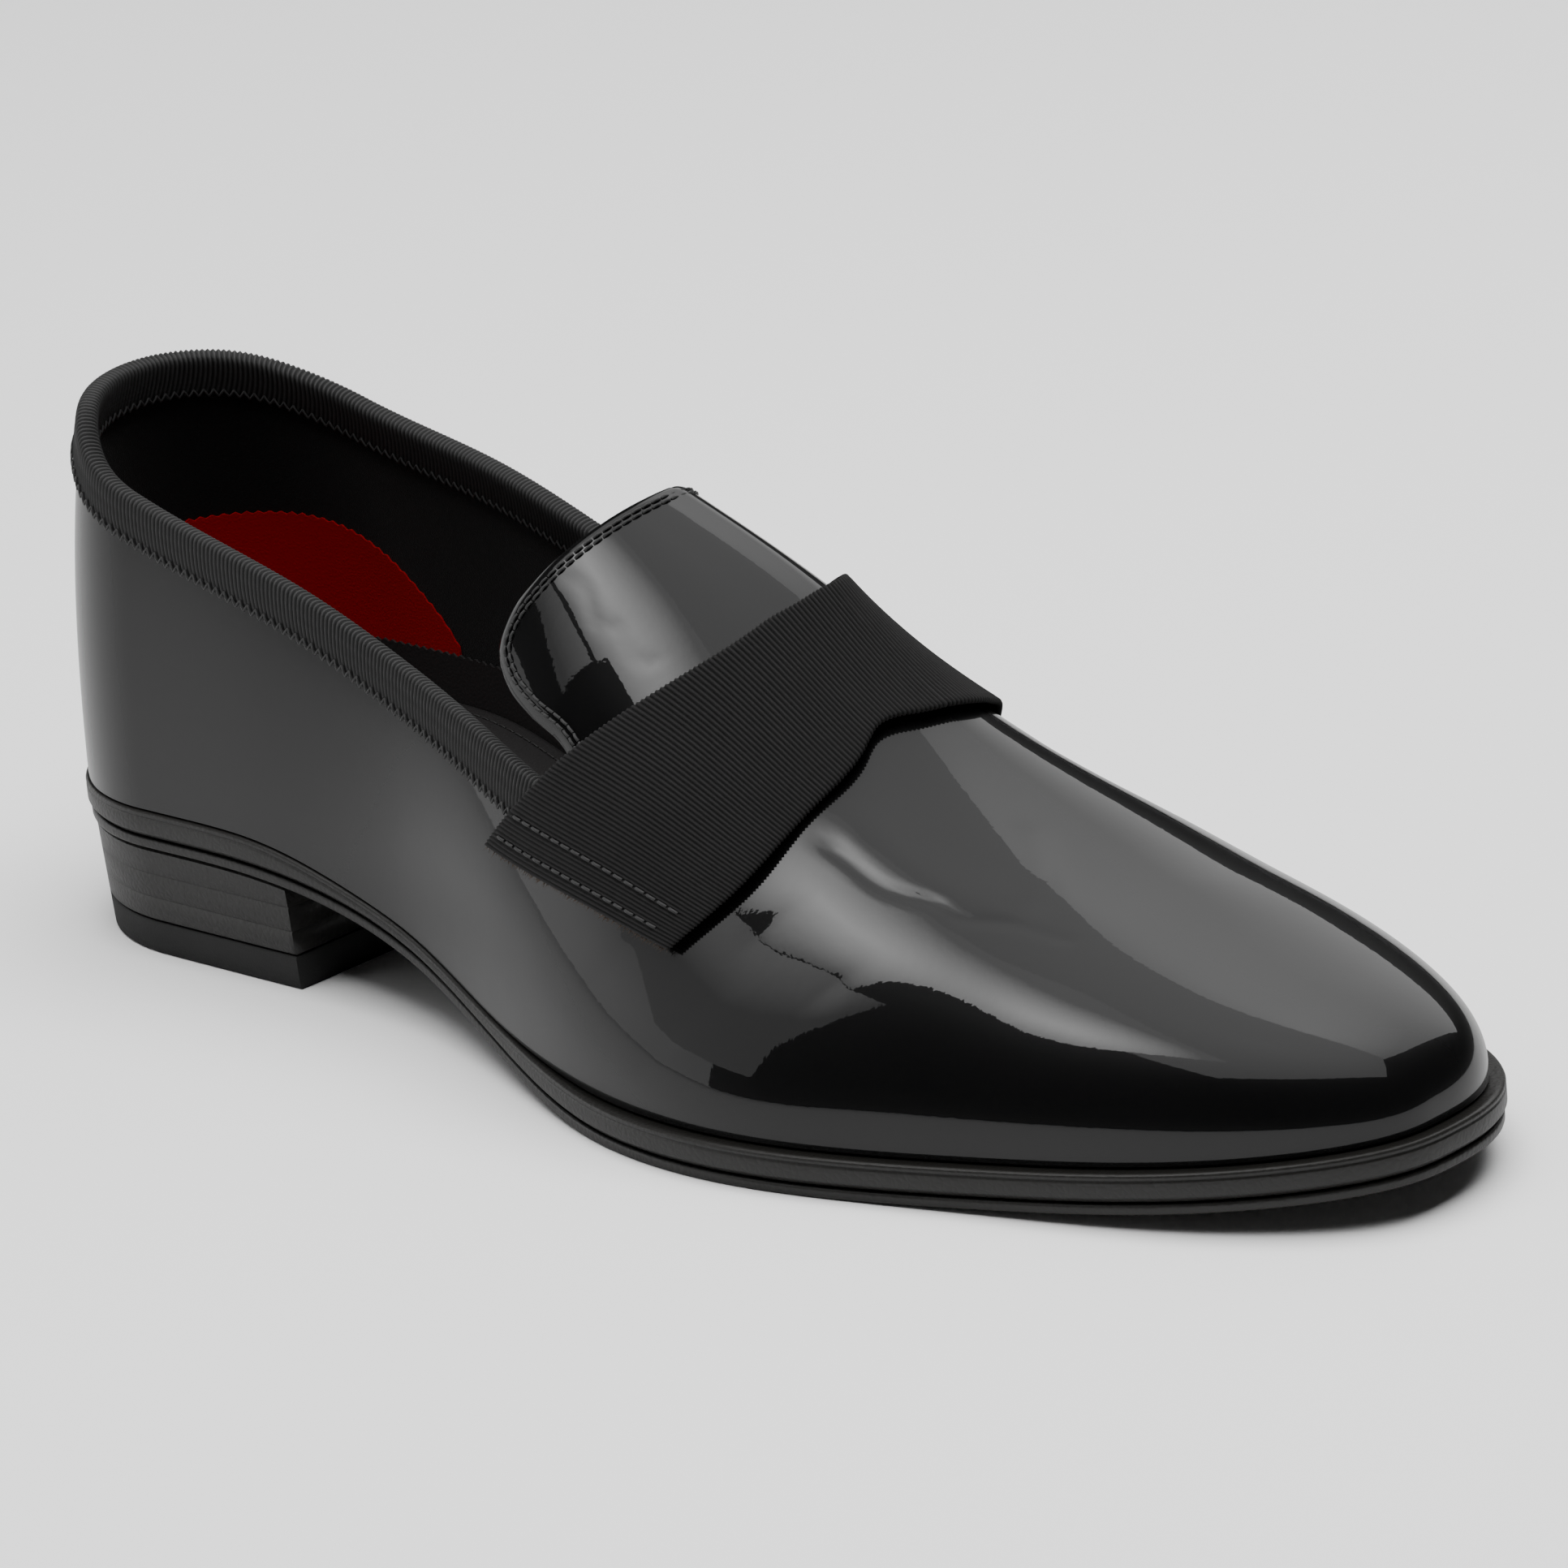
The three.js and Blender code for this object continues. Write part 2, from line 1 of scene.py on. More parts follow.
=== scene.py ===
# %% [markdown]
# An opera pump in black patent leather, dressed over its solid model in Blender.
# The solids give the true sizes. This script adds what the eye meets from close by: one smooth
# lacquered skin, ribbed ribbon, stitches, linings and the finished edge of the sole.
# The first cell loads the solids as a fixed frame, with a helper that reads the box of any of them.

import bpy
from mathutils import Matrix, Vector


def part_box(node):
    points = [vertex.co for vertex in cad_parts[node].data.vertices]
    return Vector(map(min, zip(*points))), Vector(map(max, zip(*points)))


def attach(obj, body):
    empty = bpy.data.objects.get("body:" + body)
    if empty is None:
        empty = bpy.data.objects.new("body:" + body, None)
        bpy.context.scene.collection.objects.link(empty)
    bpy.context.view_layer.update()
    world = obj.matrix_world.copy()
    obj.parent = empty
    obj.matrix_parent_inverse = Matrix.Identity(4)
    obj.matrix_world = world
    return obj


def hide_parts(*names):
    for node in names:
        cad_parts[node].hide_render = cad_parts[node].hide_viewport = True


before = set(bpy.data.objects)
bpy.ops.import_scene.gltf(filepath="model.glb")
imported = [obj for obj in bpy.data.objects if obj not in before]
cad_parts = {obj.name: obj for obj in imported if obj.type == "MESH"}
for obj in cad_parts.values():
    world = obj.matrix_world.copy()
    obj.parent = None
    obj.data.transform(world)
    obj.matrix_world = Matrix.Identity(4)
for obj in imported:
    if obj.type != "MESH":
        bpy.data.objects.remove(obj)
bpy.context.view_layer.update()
print("solids:", sorted(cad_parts))

# %% The other modules
import math

import bmesh
import bpy
import numpy as np
from mathutils import Matrix, Vector

# %% [markdown]
# A shoe is built round a last, the wooden form of the foot. The same last that shaped the solids
# is written here again as one function, so that every fine surface can be laid on it exactly.
# Work is in millimetres, and each mesh is brought to metres when it is made.

# %% Sizes of the last and the pieces, in millimetres
MM = 0.001
LENGTH = 292.0
BALL_WIDTH = 99.0
INSTEP_RISE = 71.0
BACK_HEIGHT = 66.0
HEEL_HEIGHT = 20.0
TOE_SPRING = 7.0
WALL = 2.0
BINDING_THICK = 0.7
BINDING_DEPTH = 7.0
OUTSOLE = 1.8
MIDSOLE = 4.8
WAIST = 3.0
SEAT = 0.3
SOLE_STACK = OUTSOLE + MIDSOLE + 2 * SEAT
INSOLE = 2.5
TOP_PIECE = 6.0
HEEL_LENGTH = 70.0
HEEL_INSET = 1.0
HEEL_TAPER = 1.2
BREAST_HOLLOW = 3.0
WELT_WAIST, WELT_FORE = 0.6, 2.6

# %% Where the last turns and pitches, as shares of its length
HEEL_TURN, TOE_TURN = 0.115, 0.20
HEEL_POLE, TOE_POLE, POLE_BLEND = 0.115, 0.80, 0.02
TOE_POWER = 2.5
PITCH_START, PITCH_END, SPRING_START = 0.14, 0.59, 0.67
HEEL_STEPS, MID_STEPS, TOE_STEPS = 6, 22, 9
STEPS = HEEL_STEPS + MID_STEPS + TOE_STEPS

# %% Sections of the last from heel to toe
SECTION_COLUMNS = ["at", "outer", "inner", "rise", "crown_y", "bulge", "low", "high"]
SECTIONS = [
    [0.000, 0.325, 0.325, 1.377, 0.000, -0.005, 0.50, 0.75],
    [0.110, 0.320, 0.325, 1.377, 0.000, -0.005, 0.50, 0.75],
    [0.220, 0.312, 0.320, 1.276, 0.005, 0.010, 0.50, 0.68],
    [0.340, 0.325, 0.280, 1.207, 0.015, 0.030, 0.48, 0.52],
    [0.445, 0.415, 0.276, 1.140, 0.030, 0.045, 0.46, 0.46],
    [0.550, 0.500, 0.352, 0.992, 0.055, 0.035, 0.44, 0.37],
    [0.640, 0.512, 0.455, 0.765, 0.055, 0.020, 0.40, 0.42],
    [0.730, 0.450, 0.485, 0.578, 0.055, 0.015, 0.46, 0.57],
    [0.825, 0.365, 0.448, 0.420, 0.050, 0.015, 0.50, 0.65],
    [0.915, 0.300, 0.388, 0.309, 0.045, 0.015, 0.54, 0.66],
    [1.000, 0.235, 0.335, 0.208, 0.040, 0.015, 0.56, 0.66],
]

# %% Topline and tongue in side view
TOPLINE_COLUMNS = ["at", "outer", "inner"]
TOPLINE = [
    [0.000, 1.000, 1.000],
    [0.030, 0.972, 0.972],
    [0.070, 0.890, 0.912],
    [0.120, 0.815, 0.845],
    [0.180, 0.748, 0.790],
    [0.250, 0.692, 0.765],
    [0.330, 0.650, 0.762],
    [0.410, 0.650, 0.758],
    [0.470, 0.636, 0.748],
    [0.520, 0.615, 0.728],
]

# %% The tongue's edge, as knots: x and z of the outer half, then x and z of the inner half
TONGUE = [
    [0.521, 0.640, 0.521, 0.715],
    [0.484, 0.697, 0.480, 0.790],
    [0.453, 0.747, 0.447, 0.852],
    [0.431, 0.793, 0.427, 0.918],
    [0.417, 0.859, 0.421, 0.972],
    [0.418, 0.937, 0.423, 1.028],
    [0.427, 1.008, 0.433, 1.105],
    [0.439, 1.075, 0.443, 1.118],
    [0.456, 1.148, 0.456, 1.148],
    [0.478, 1.215, 0.478, 1.215],
    [0.500, 1.280, 0.500, 1.280],
]

# %% The bow from its outer to its inner end
BOW_COLUMNS = ["at", "rear", "front", "curl", "lift"]
BOW = [
    [0.00, 0.445, 0.597, 0.00, 0.00],
    [0.12, 0.488, 0.624, 0.05, 0.04],
    [0.26, 0.532, 0.637, 0.15, 0.12],
    [0.38, 0.556, 0.641, 0.30, 0.32],
    [0.42, 0.56, 0.6375, 0.38, 0.36],
    [0.45, 0.563, 0.639, 0.42, 0.34],
    [0.50, 0.565, 0.6455, 0.50, 0.30],
    [0.56, 0.564, 0.6495, 0.54, 0.28],
    [0.63, 0.556, 0.65, 0.50, 0.28],
    [0.72, 0.536, 0.6435, 0.25, 0.19],
    [0.84, 0.50, 0.624, 0.05, 0.05],
    [1.00, 0.443, 0.593, 0.00, 0.00],
]
BOW_OUTER_END = {"rear": 0.27, "front": 0.312}
BOW_INNER_END = {"rear": 1.644, "front": 1.569}


# %% A smooth curve through the rows of a table
def spline(xs, ys):
    """Natural cubic spline, worked out for whole arrays at once."""
    xs, ys = np.asarray(xs, float), np.asarray(ys, float)
    n, h = len(xs), np.diff(xs)
    a = np.eye(n)
    b = np.zeros(n)
    for i in range(1, n - 1):
        a[i, i - 1:i + 2] = h[i - 1], 2 * (h[i - 1] + h[i]), h[i]
        b[i] = 6 * ((ys[i + 1] - ys[i]) / h[i] - (ys[i] - ys[i - 1]) / h[i - 1])
    m = np.linalg.solve(a, b)

    def curve(x):
        x = np.asarray(x, float)
        i = np.clip(np.searchsorted(xs, x) - 1, 0, n - 2)
        u = (xs[i + 1] - x) / h[i]
        v = 1 - u
        bend = (u ** 3 - u) * m[i] + (v ** 3 - v) * m[i + 1]
        return u * ys[i] + v * ys[i + 1] + bend * h[i] ** 2 / 6

    return curve


def splines(names, rows):
    table = np.array(rows)
    return {name: spline(table[:, 0], table[:, i + 1]) for i, name in enumerate(names[1:])}


section = splines(SECTION_COLUMNS, SECTIONS)
topline = splines(TOPLINE_COLUMNS, TOPLINE)
bow_shape = splines(BOW_COLUMNS, BOW)


# %% Small helpers for numbers
def mix(a, b, t):
    return a + (b - a) * t


def smooth(start, end, x):
    t = np.clip((x - start) / (end - start), 0, 1)
    return t ** 3 * (10 - 15 * t + 6 * t * t)


def unit(v):
    return v / np.maximum(np.linalg.norm(v, axis=-1, keepdims=True), 1e-12)


def running_length(line):
    """Length along a line of points, from its first point to each of them."""
    return np.append(0, np.cumsum(np.linalg.norm(np.diff(line, axis=0), axis=1)))


# %% Heights of the sole along the shoe
def tread(s):
    pitch = HEEL_HEIGHT * (1 - smooth(PITCH_START, PITCH_END, s))
    return pitch + TOE_SPRING * np.maximum(0, (s - SPRING_START) / (1 - SPRING_START)) ** 2


def foot_plane(s):
    return tread(s) + SOLE_STACK


def feather(s):
    return foot_plane(s) - (MIDSOLE - WAIST) * smooth(0.18, 0.32, s) * (1 - smooth(0.36, 0.54, s))


# %% Stations that run evenly round heel and toe
def station(k):
    k = np.asarray(k, float)
    heel = HEEL_TURN * (1 - np.cos(np.clip(k / HEEL_STEPS, 0, 1) * math.pi / 2))
    middle = mix(HEEL_TURN, 1 - TOE_TURN, (k - HEEL_STEPS) / MID_STEPS)
    turn = np.clip((k - HEEL_STEPS - MID_STEPS) / TOE_STEPS, 0, 1)
    toe = 1 - TOE_TURN + TOE_TURN * np.sin(turn * math.pi / 2)
    return np.where(k <= HEEL_STEPS, heel, np.where(k <= HEEL_STEPS + MID_STEPS, middle, toe))


def step_of(s):
    return HEEL_STEPS + (s - HEEL_TURN) / (1 - TOE_TURN - HEEL_TURN) * MID_STEPS


# %% A point of the last
# round_ runs from 0 at the outer feather line over the crown at 1 to 2 at the inner one.
def half_width(s, side):
    heel = np.clip((HEEL_TURN - s) / HEEL_TURN, 0, 1)
    toe = np.clip((s - 1 + TOE_TURN) / TOE_TURN, 0, 1)
    ends = np.sqrt(1 - heel ** 2) * (1 - toe ** TOE_POWER) ** (1 / TOE_POWER)
    return np.where(side < 0, section["outer"](s), section["inner"](s)) * BALL_WIDTH * ends


def centre(s):
    def soft(x):
        return POLE_BLEND * np.log1p(np.exp(x / POLE_BLEND))

    c = HEEL_POLE + soft(s - HEEL_POLE) - soft(s - TOE_POLE)
    return np.where(s > TOE_POLE + 5 * POLE_BLEND, TOE_POLE, c)


def crown(c):
    return foot_plane(c) + section["rise"](c) * INSTEP_RISE


def crown_slope(c, step=1e-3):
    return (crown(c + step) - crown(c - step)) / (2 * step * LENGTH)


def stack(x, y, z):
    return np.stack(np.broadcast_arrays(x, y, z), axis=-1).astype(float)


def last_point(s, side, t):
    s, side, t = np.broadcast_arrays(s, side, t)
    c = centre(s)
    foot = stack(s * LENGTH, side * half_width(s, side), feather(s))
    top = stack(c * LENGTH, section["crown_y"](c) * BALL_WIDTH, crown(c))
    out = (foot - top) * [1, 1, 0]
    rise = top[..., 2] - foot[..., 2]
    low = foot + unit(out) * (section["bulge"](s) * BALL_WIDTH)[..., None]
    low[..., 2] += section["low"](s) * rise
    high = top + out * section["high"](s)[..., None]
    high[..., 2] += crown_slope(c) * out[..., 0] * section["high"](s)
    t = t[..., None]
    u = 1 - t
    return u ** 3 * foot + 3 * u * u * t * low + 3 * u * t * t * high + t ** 3 * top


# %% The direction that points out of the last
def last_normal(k, side, t, step=0.05):
    k, side, t = (x.astype(float) for x in np.broadcast_arrays(k, side, t))
    at_end = (k <= 0) | (k >= STEPS)
    side = np.where(at_end, -1, side)
    after = last_point(station(np.minimum(k + step, STEPS)), side, t)
    along = after - last_point(station(np.maximum(k - step, 0)), side, t)
    s = station(k)
    up = last_point(s, side, np.minimum(t + 0.01, 1)) - last_point(s, side, np.maximum(t - 0.01, 0))
    normal = np.cross(along, up) * -side[..., None]
    normal[..., 1] = np.where(at_end, 0, normal[..., 1])
    slope = crown_slope(centre(s))
    return np.where((t > 0.999)[..., None], unit(stack(-slope, 0 * s, 1 + 0 * s)), unit(normal))


def skin(k, round_, offset=0.0):
    """A point on the last grown by offset."""
    k, round_, offset = np.broadcast_arrays(k, round_, offset)
    side = np.where(round_ <= 1, -1.0, 1.0)
    t = np.where(round_ <= 1, round_, 2 - round_)
    return last_point(station(k), side, t) + last_normal(k, side, t) * offset[..., None]


# %% [markdown]
# The last has its own origin at the back of the heel. The solids stand with their origin in the
# middle of the shoe, so the shift between the two is read from the box of the solid upper.

# %% Bring the last to the frame
upper_low, upper_high = (np.array(c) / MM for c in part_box("upper"))
sample_k, sample_round = np.meshgrid(np.linspace(0, STEPS, 149), np.linspace(0, 2, 81))
sample = skin(sample_k, sample_round).reshape(-1, 3)
shift = (upper_low + upper_high) / 2 - (sample.min(0) + sample.max(0)) / 2
SHIFT = np.array([shift[0], shift[1], 0.0])
print("shift of the last, mm:", SHIFT.round(3))


# %% Turn points and faces into an object
def make_object(name, points, faces, material=None, smooth_angle=50):
    """points in millimetres on the last; the mesh is stored in metres in the frame."""
    mesh = bpy.data.meshes.new(name)
    mesh.from_pydata(((np.asarray(points) + SHIFT) * MM).tolist(), [], [list(f) for f in faces])
    mesh.validate()
    mesh.shade_smooth()
    mesh.set_sharp_from_angle(angle=math.radians(smooth_angle))
    piece = bpy.data.objects.new(name, mesh)
    bpy.context.scene.collection.objects.link(piece)
    if material:
        mesh.materials.append(material)
    return piece


def loft(rings, closed=True, caps=True):
    """Faces through rings of points, all rings with the same number of points."""
    count, around = rings.shape[:2]
    last = around if closed else around - 1
    faces = []
    for i in range(count - 1):
        for j in range(last):
            a, b = i * around + j, i * around + (j + 1) % around
            faces.append((a, b, b + around, a + around))
    if caps:
        faces.append(tuple(reversed(range(around))))
        faces.append(tuple(range((count - 1) * around, count * around)))
    return faces


def outward(piece):
    """Merges doubles and turns every face of a closed piece outwards."""
    work = bmesh.new()
    work.from_mesh(piece.data)
    bmesh.ops.remove_doubles(work, verts=work.verts, dist=1e-6)
    bmesh.ops.dissolve_degenerate(work, edges=work.edges, dist=1e-7)
    bmesh.ops.recalc_face_normals(work, faces=work.faces)
    if work.calc_volume(signed=True) < 0:
        bmesh.ops.reverse_faces(work, faces=work.faces)
    open_edges = sum(1 for e in work.edges if len(e.link_faces) != 2)
    work.to_mesh(piece.data)
    work.free()
    print(piece.name, "faces:", len(piece.data.polygons), "open edges:", open_edges)
    return piece


# %% [markdown]
# The opening of the shoe is a shape in side view: up from the back of the topline, forward to
# the notch under the bow, then round the edge of the tongue. A distance to that outline tells
# for every point of the last whether leather is there, and how far its edge is.

# %% The opening in side view
TONGUE_DETAIL = 12
FAR = 60.0


def topline_height(side, s):
    share = topline["outer"](s) if side < 0 else topline["inner"](s)
    return foot_plane(s) + share * BACK_HEIGHT


def rounded_line(knots, detail):
    """Catmull-Rom curve through the knots."""
    ends = np.vstack([knots[0], knots, knots[-1]])
    u = np.linspace(0, 1, detail, endpoint=False)[:, None]
    runs = []
    for a, b, c, d in zip(ends, ends[1:], ends[2:], ends[3:]):
        v0, v1 = (c - a) / 2, (d - b) / 2
        cubic = (2 * (b - c) + v0 + v1) * u ** 3 + (-3 * (b - c) - 2 * v0 - v1) * u ** 2
        runs.append(cubic + v0 * u + b)
    return np.vstack(runs + [knots[-1:]])


def tongue_edge(side):
    table = np.array(TONGUE)[:, :2] if side < 0 else np.array(TONGUE)[:, 2:]
    end = TOPLINE[-1][0]
    knots = table * [LENGTH, INSTEP_RISE] + [0, float(foot_plane(end))]
    knots[0, 1] = topline_height(side, end)
    return rounded_line(knots, TONGUE_DETAIL)


def opening(side, lift=0.0):
    s = np.linspace(0, TOPLINE[-1][0], 60)
    top = np.stack([s * LENGTH, topline_height(side, s) + lift], axis=1)
    start = [[-FAR, top[0, 1]]]
    edge = tongue_edge(side)
    roof = float(crown(HEEL_POLE)) + FAR
    return np.vstack([start, top, edge, [[edge[-1, 0], roof], [-FAR, roof]]])


def distance_to(outline, x, z):
    """Distance in side view to a closed outline, negative inside it."""
    best = np.full(np.shape(x), np.inf)
    inside = np.zeros(np.shape(x), bool)
    for (ax, az), (bx, bz) in zip(outline, np.roll(outline, -1, axis=0)):
        dx, dz = bx - ax, bz - az
        along = np.clip(((x - ax) * dx + (z - az) * dz) / max(dx * dx + dz * dz, 1e-12), 0, 1)
        best = np.minimum(best, np.hypot(x - ax - along * dx, z - az - along * dz))
        crosses = (az > z) != (bz > z)
        inside ^= crosses & (x < ax + (z - az) * dx / (dz if dz else 1e-12))
    return np.where(inside, -best, best)


OPENINGS = {side: opening(side) for side in (-1, 1)}


def leather(k, round_):
    """How far a point of the last is from the edge of the leather: negative in the opening."""
    p = skin(k, round_)
    outer = distance_to(OPENINGS[-1], p[..., 0], p[..., 2])
    inner = distance_to(OPENINGS[1], p[..., 0], p[..., 2])
    return np.where(np.asarray(round_) <= 1, outer, inner)


# %% [markdown]
# A wall with a clean edge comes from a grid on the last whose squares are cut exactly where the
# distance changes sign. Each new corner still lies on the last, so the lacquer stays smooth.

# %% A wall of the last, cut to a shape
# The edge is rounded over EDGE_REACH; a grid point nearer to it than ON_EDGE counts as on it.
EDGE_REACH, ON_EDGE = 1.3, 0.03


def wall_grid(ks, rounds):
    """Places of a grid on the last and its triangles, joined where grid points coincide."""
    k, r = np.meshgrid(ks, rounds, indexing="ij")
    rows, cols = k.shape
    ids = np.arange(rows * cols).reshape(rows, cols)
    for row in (0, rows - 1):
        if ks[row] in (0, STEPS) and rounds[0] + rounds[-1] == 2:
            ids[row] = np.minimum(ids[row], ids[row][::-1])
    middle = np.argmin(abs(rounds - 1))
    at_pole = station(ks) > TOE_POLE + 5 * POLE_BLEND
    if at_pole.any() and abs(rounds[middle] - 1) < 1e-9:
        ids[at_pole, middle] = ids[np.argmax(at_pole), middle]
    a, b = ids[:-1, :-1].ravel(), ids[1:, :-1].ravel()
    c, d = ids[1:, 1:].ravel(), ids[:-1, 1:].ravel()
    tris = np.vstack([np.stack([a, b, c], 1), np.stack([a, c, d], 1)])
    flat = (tris == np.roll(tris, 1, axis=1)).any(1)
    return k.ravel(), r.ravel(), tris[~flat]


def find_edge(keep, k, r, ends, rising):
    """Halves each grid edge until it meets the place where keep changes sign."""
    ka, kb, ra, rb = k[ends[:, 0]], k[ends[:, 1]], r[ends[:, 0]], r[ends[:, 1]]
    low, high = np.zeros(len(ends)), np.ones(len(ends))
    for _ in range(12):
        half = (low + high) / 2
        value = keep(mix(ka, kb, half), mix(ra, rb, half)) > 0
        low = np.where(value == rising, low, half)
        high = np.where(value == rising, half, high)
    half = (low + high) / 2
    return mix(ka, kb, half), mix(ra, rb, half)


def cut_wall(ks, rounds, keep, outer, inner, edge_round=0.0):
    """Closed wall over the grid ks by rounds where keep(k, round) is positive.
    outer and inner give the offsets of its two faces."""
    k, r, tris = wall_grid(ks, rounds)
    f = keep(k, r)
    f = np.where(np.abs(f) < ON_EDGE, 0.0, f)
    sign = f[tris]
    whole = tris[(sign >= 0).all(1) & (sign > 0).any(1)]
    mixed = tris[(sign > 0).any(1) & (sign < 0).any(1)]
    pairs = {}
    pieces = []
    for tri in mixed:
        loop = []
        for p, q in zip(tri, np.roll(tri, -1)):
            if f[p] >= 0:
                loop.append(int(p))
            if f[p] * f[q] < 0:
                key = (min(p, q), max(p, q))
                loop.append(pairs.setdefault(key, len(k) + len(pairs)))
        pieces += [(loop[0], loop[i], loop[i + 1]) for i in range(1, len(loop) - 1)]
    if pairs:
        ends = np.array(list(pairs))
        edge_k, edge_r = find_edge(keep, k, r, ends, f[ends[:, 1]] > 0)
        k, r = np.append(k, edge_k), np.append(r, edge_r)
    tris = np.vstack([whole, np.array(pieces, int).reshape(-1, 3)])
    used, flat = np.unique(tris, return_inverse=True)
    tris = flat.reshape(-1, 3)
    k, r = k[used], r[used]
    edges = np.vstack([tris[:, [0, 1]], tris[:, [1, 2]], tris[:, [2, 0]]])
    keys = np.sort(edges, axis=1)
    _, first, counts = np.unique(keys, axis=0, return_index=True, return_counts=True)
    rim = edges[first[counts == 1]]
    drop = edge_round * np.clip(1 - keep(k, r) / EDGE_REACH, 0, 1) ** 2
    out, back = skin(k, r, outer(k, r) - drop), skin(k, r, inner(k, r))
    n = len(k)
    faces = tris.tolist() + (tris[:, ::-1] + n).tolist()
    faces += [(b, a, a + n, b + n) for a, b in rim.tolist()]
    return {"points": np.vstack([out, back]), "faces": faces, "outer": n}


# %% [markdown]
# Finishes come before pieces. A node material is a small graph: coordinates feed noise, noise
# feeds a bump, and the bump bends the light on the surface. What several finishes share, such
# as a grain, is made once as a group with its own inputs and is placed in each of them.
# Graphs of all kinds are wired by one helper, which takes a value or another node's output.

# %% Add a node to a graph
def add_node(tree, kind, inputs=None, **settings):
    """Makes a node, gives it its settings, then sets or links each of its inputs."""
    node = tree.nodes.new(kind)
    for name, value in settings.items():
        setattr(node, name, value)
    for name, value in (inputs or {}).items():
        if isinstance(value, bpy.types.NodeSocket):
            tree.links.new(value, node.inputs[name])
        else:
            node.inputs[name].default_value = value
    return node


def shader_group(name, inputs, output):
    """An empty shader group with float inputs at their values, and one float output."""
    group = bpy.data.node_groups.new(name, "ShaderNodeTree")
    for label, value in inputs:
        socket = group.interface.new_socket(label, in_out="INPUT", socket_type="NodeSocketFloat")
        socket.default_value = value
    group.interface.new_socket(output, in_out="OUTPUT", socket_type="NodeSocketFloat")
    return group, group.nodes.new("NodeGroupInput"), group.nodes.new("NodeGroupOutput")


# %% A shared grain of leather
def grain_group():
    group, source, result = shader_group(
        "leather grain", [("Scale", 900.0), ("Stretch", 0.4)], "Height")
    place = {"Vector": add_node(group, "ShaderNodeTexCoord").outputs["Object"],
             "Scale": source.outputs["Scale"]}
    cells = add_node(group, "ShaderNodeTexVoronoi", place, feature="DISTANCE_TO_EDGE")
    fine = add_node(group, "ShaderNodeTexNoise", {**place, "Detail": 4.0})
    total = add_node(group, "ShaderNodeMath", {
        0: fine.outputs["Fac"], 1: source.outputs["Stretch"], 2: cells.outputs["Distance"],
    }, operation="MULTIPLY_ADD")
    group.links.new(total.outputs[0], result.inputs["Height"])
    return group


GRAIN = grain_group()


# %% A shared slow mottle, for roughness that is never quite even
def mottle_group():
    group, source, result = shader_group(
        "mottle", [("Scale", 60.0), ("Low", 0.4), ("High", 0.6)], "Value")
    noise = add_node(group, "ShaderNodeTexNoise", {
        "Vector": add_node(group, "ShaderNodeTexCoord").outputs["Object"],
        "Scale": source.outputs["Scale"], "Detail": 3.0})
    spread = add_node(group, "ShaderNodeMapRange", {
        "Value": noise.outputs["Fac"], "To Min": source.outputs["Low"],
        "To Max": source.outputs["High"]})
    group.links.new(spread.outputs["Result"], result.inputs["Value"])
    return group


MOTTLE = mottle_group()


def new_material(name):
    """A material with its node graph and the shader at the end of it."""
    material = bpy.data.materials.new(name)
    material.use_nodes = True
    return material, material.node_tree, material.node_tree.nodes["Principled BSDF"]


def set_inputs(node, values):
    for name, value in values.items():
        node.inputs[name].default_value = value


# %% Build one finish
# Painted shade darkens the colour in the grooves between ribs; a painted highlight lightens it on the
# ribs.
GROOVE_PAINTED_SHADE, RIB_PAINTED_HIGHLIGHT = 0.15, 1.9


def finish(name, colour, roughness, grain=0.0, grain_scale=900.0, coat=0.0, coat_rough=0.03,
           specular=0.5, sheen=0.0, uneven=0.1, rib_pitch=0.0):
    """A Principled material. grain is the depth of the bump in millimetres. With a rib pitch
    the colour takes painted shade between the ribs and a painted highlight on them, along the stored
    length."""
    material, tree, shader = new_material(name)
    set_inputs(shader, {
        "Base Color": (*colour, 1), "Specular IOR Level": specular, "Coat Weight": coat,
        "Coat Roughness": coat_rough, "Sheen Weight": sheen})
    mottle = add_node(tree, "ShaderNodeGroup", node_tree=MOTTLE)
    set_inputs(mottle, {"Low": roughness * (1 - uneven), "High": roughness * (1 + uneven)})
    tree.links.new(mottle.outputs["Value"], shader.inputs["Roughness"])
    height = add_node(tree, "ShaderNodeGroup", node_tree=GRAIN)
    height.inputs["Scale"].default_value = grain_scale
    bump = add_node(tree, "ShaderNodeBump", {
        "Distance": grain * MM, "Height": height.outputs["Height"]})
    tree.links.new(bump.outputs["Normal"], shader.inputs["Normal"])
    # Painted shade between the ribs and a painted highlight on them, as a colour wave along the
    # stored length.
    if rib_pitch:
        length = add_node(tree, "ShaderNodeAttribute", attribute_name="along")
        turns = add_node(tree, "ShaderNodeMath", {
            0: length.outputs["Fac"], 1: 2 * math.pi / (rib_pitch * MM)}, operation="MULTIPLY")
        wave = add_node(tree, "ShaderNodeMath", {0: turns.outputs[0]}, operation="COSINE")
        shade = add_node(tree, "ShaderNodeMapRange", {
            "Value": wave.outputs[0], "From Min": -1.0})
        painted_rib_light_and_shade = add_node(tree, "ShaderNodeMix", {
            "Factor": shade.outputs[0], "A": (*(c * GROOVE_PAINTED_SHADE for c in colour), 1),
            "B": (*(c * RIB_PAINTED_HIGHLIGHT for c in colour), 1)}, data_type="RGBA")
        tree.links.new(painted_rib_light_and_shade.outputs["Result"], shader.inputs["Base Color"])
    return material


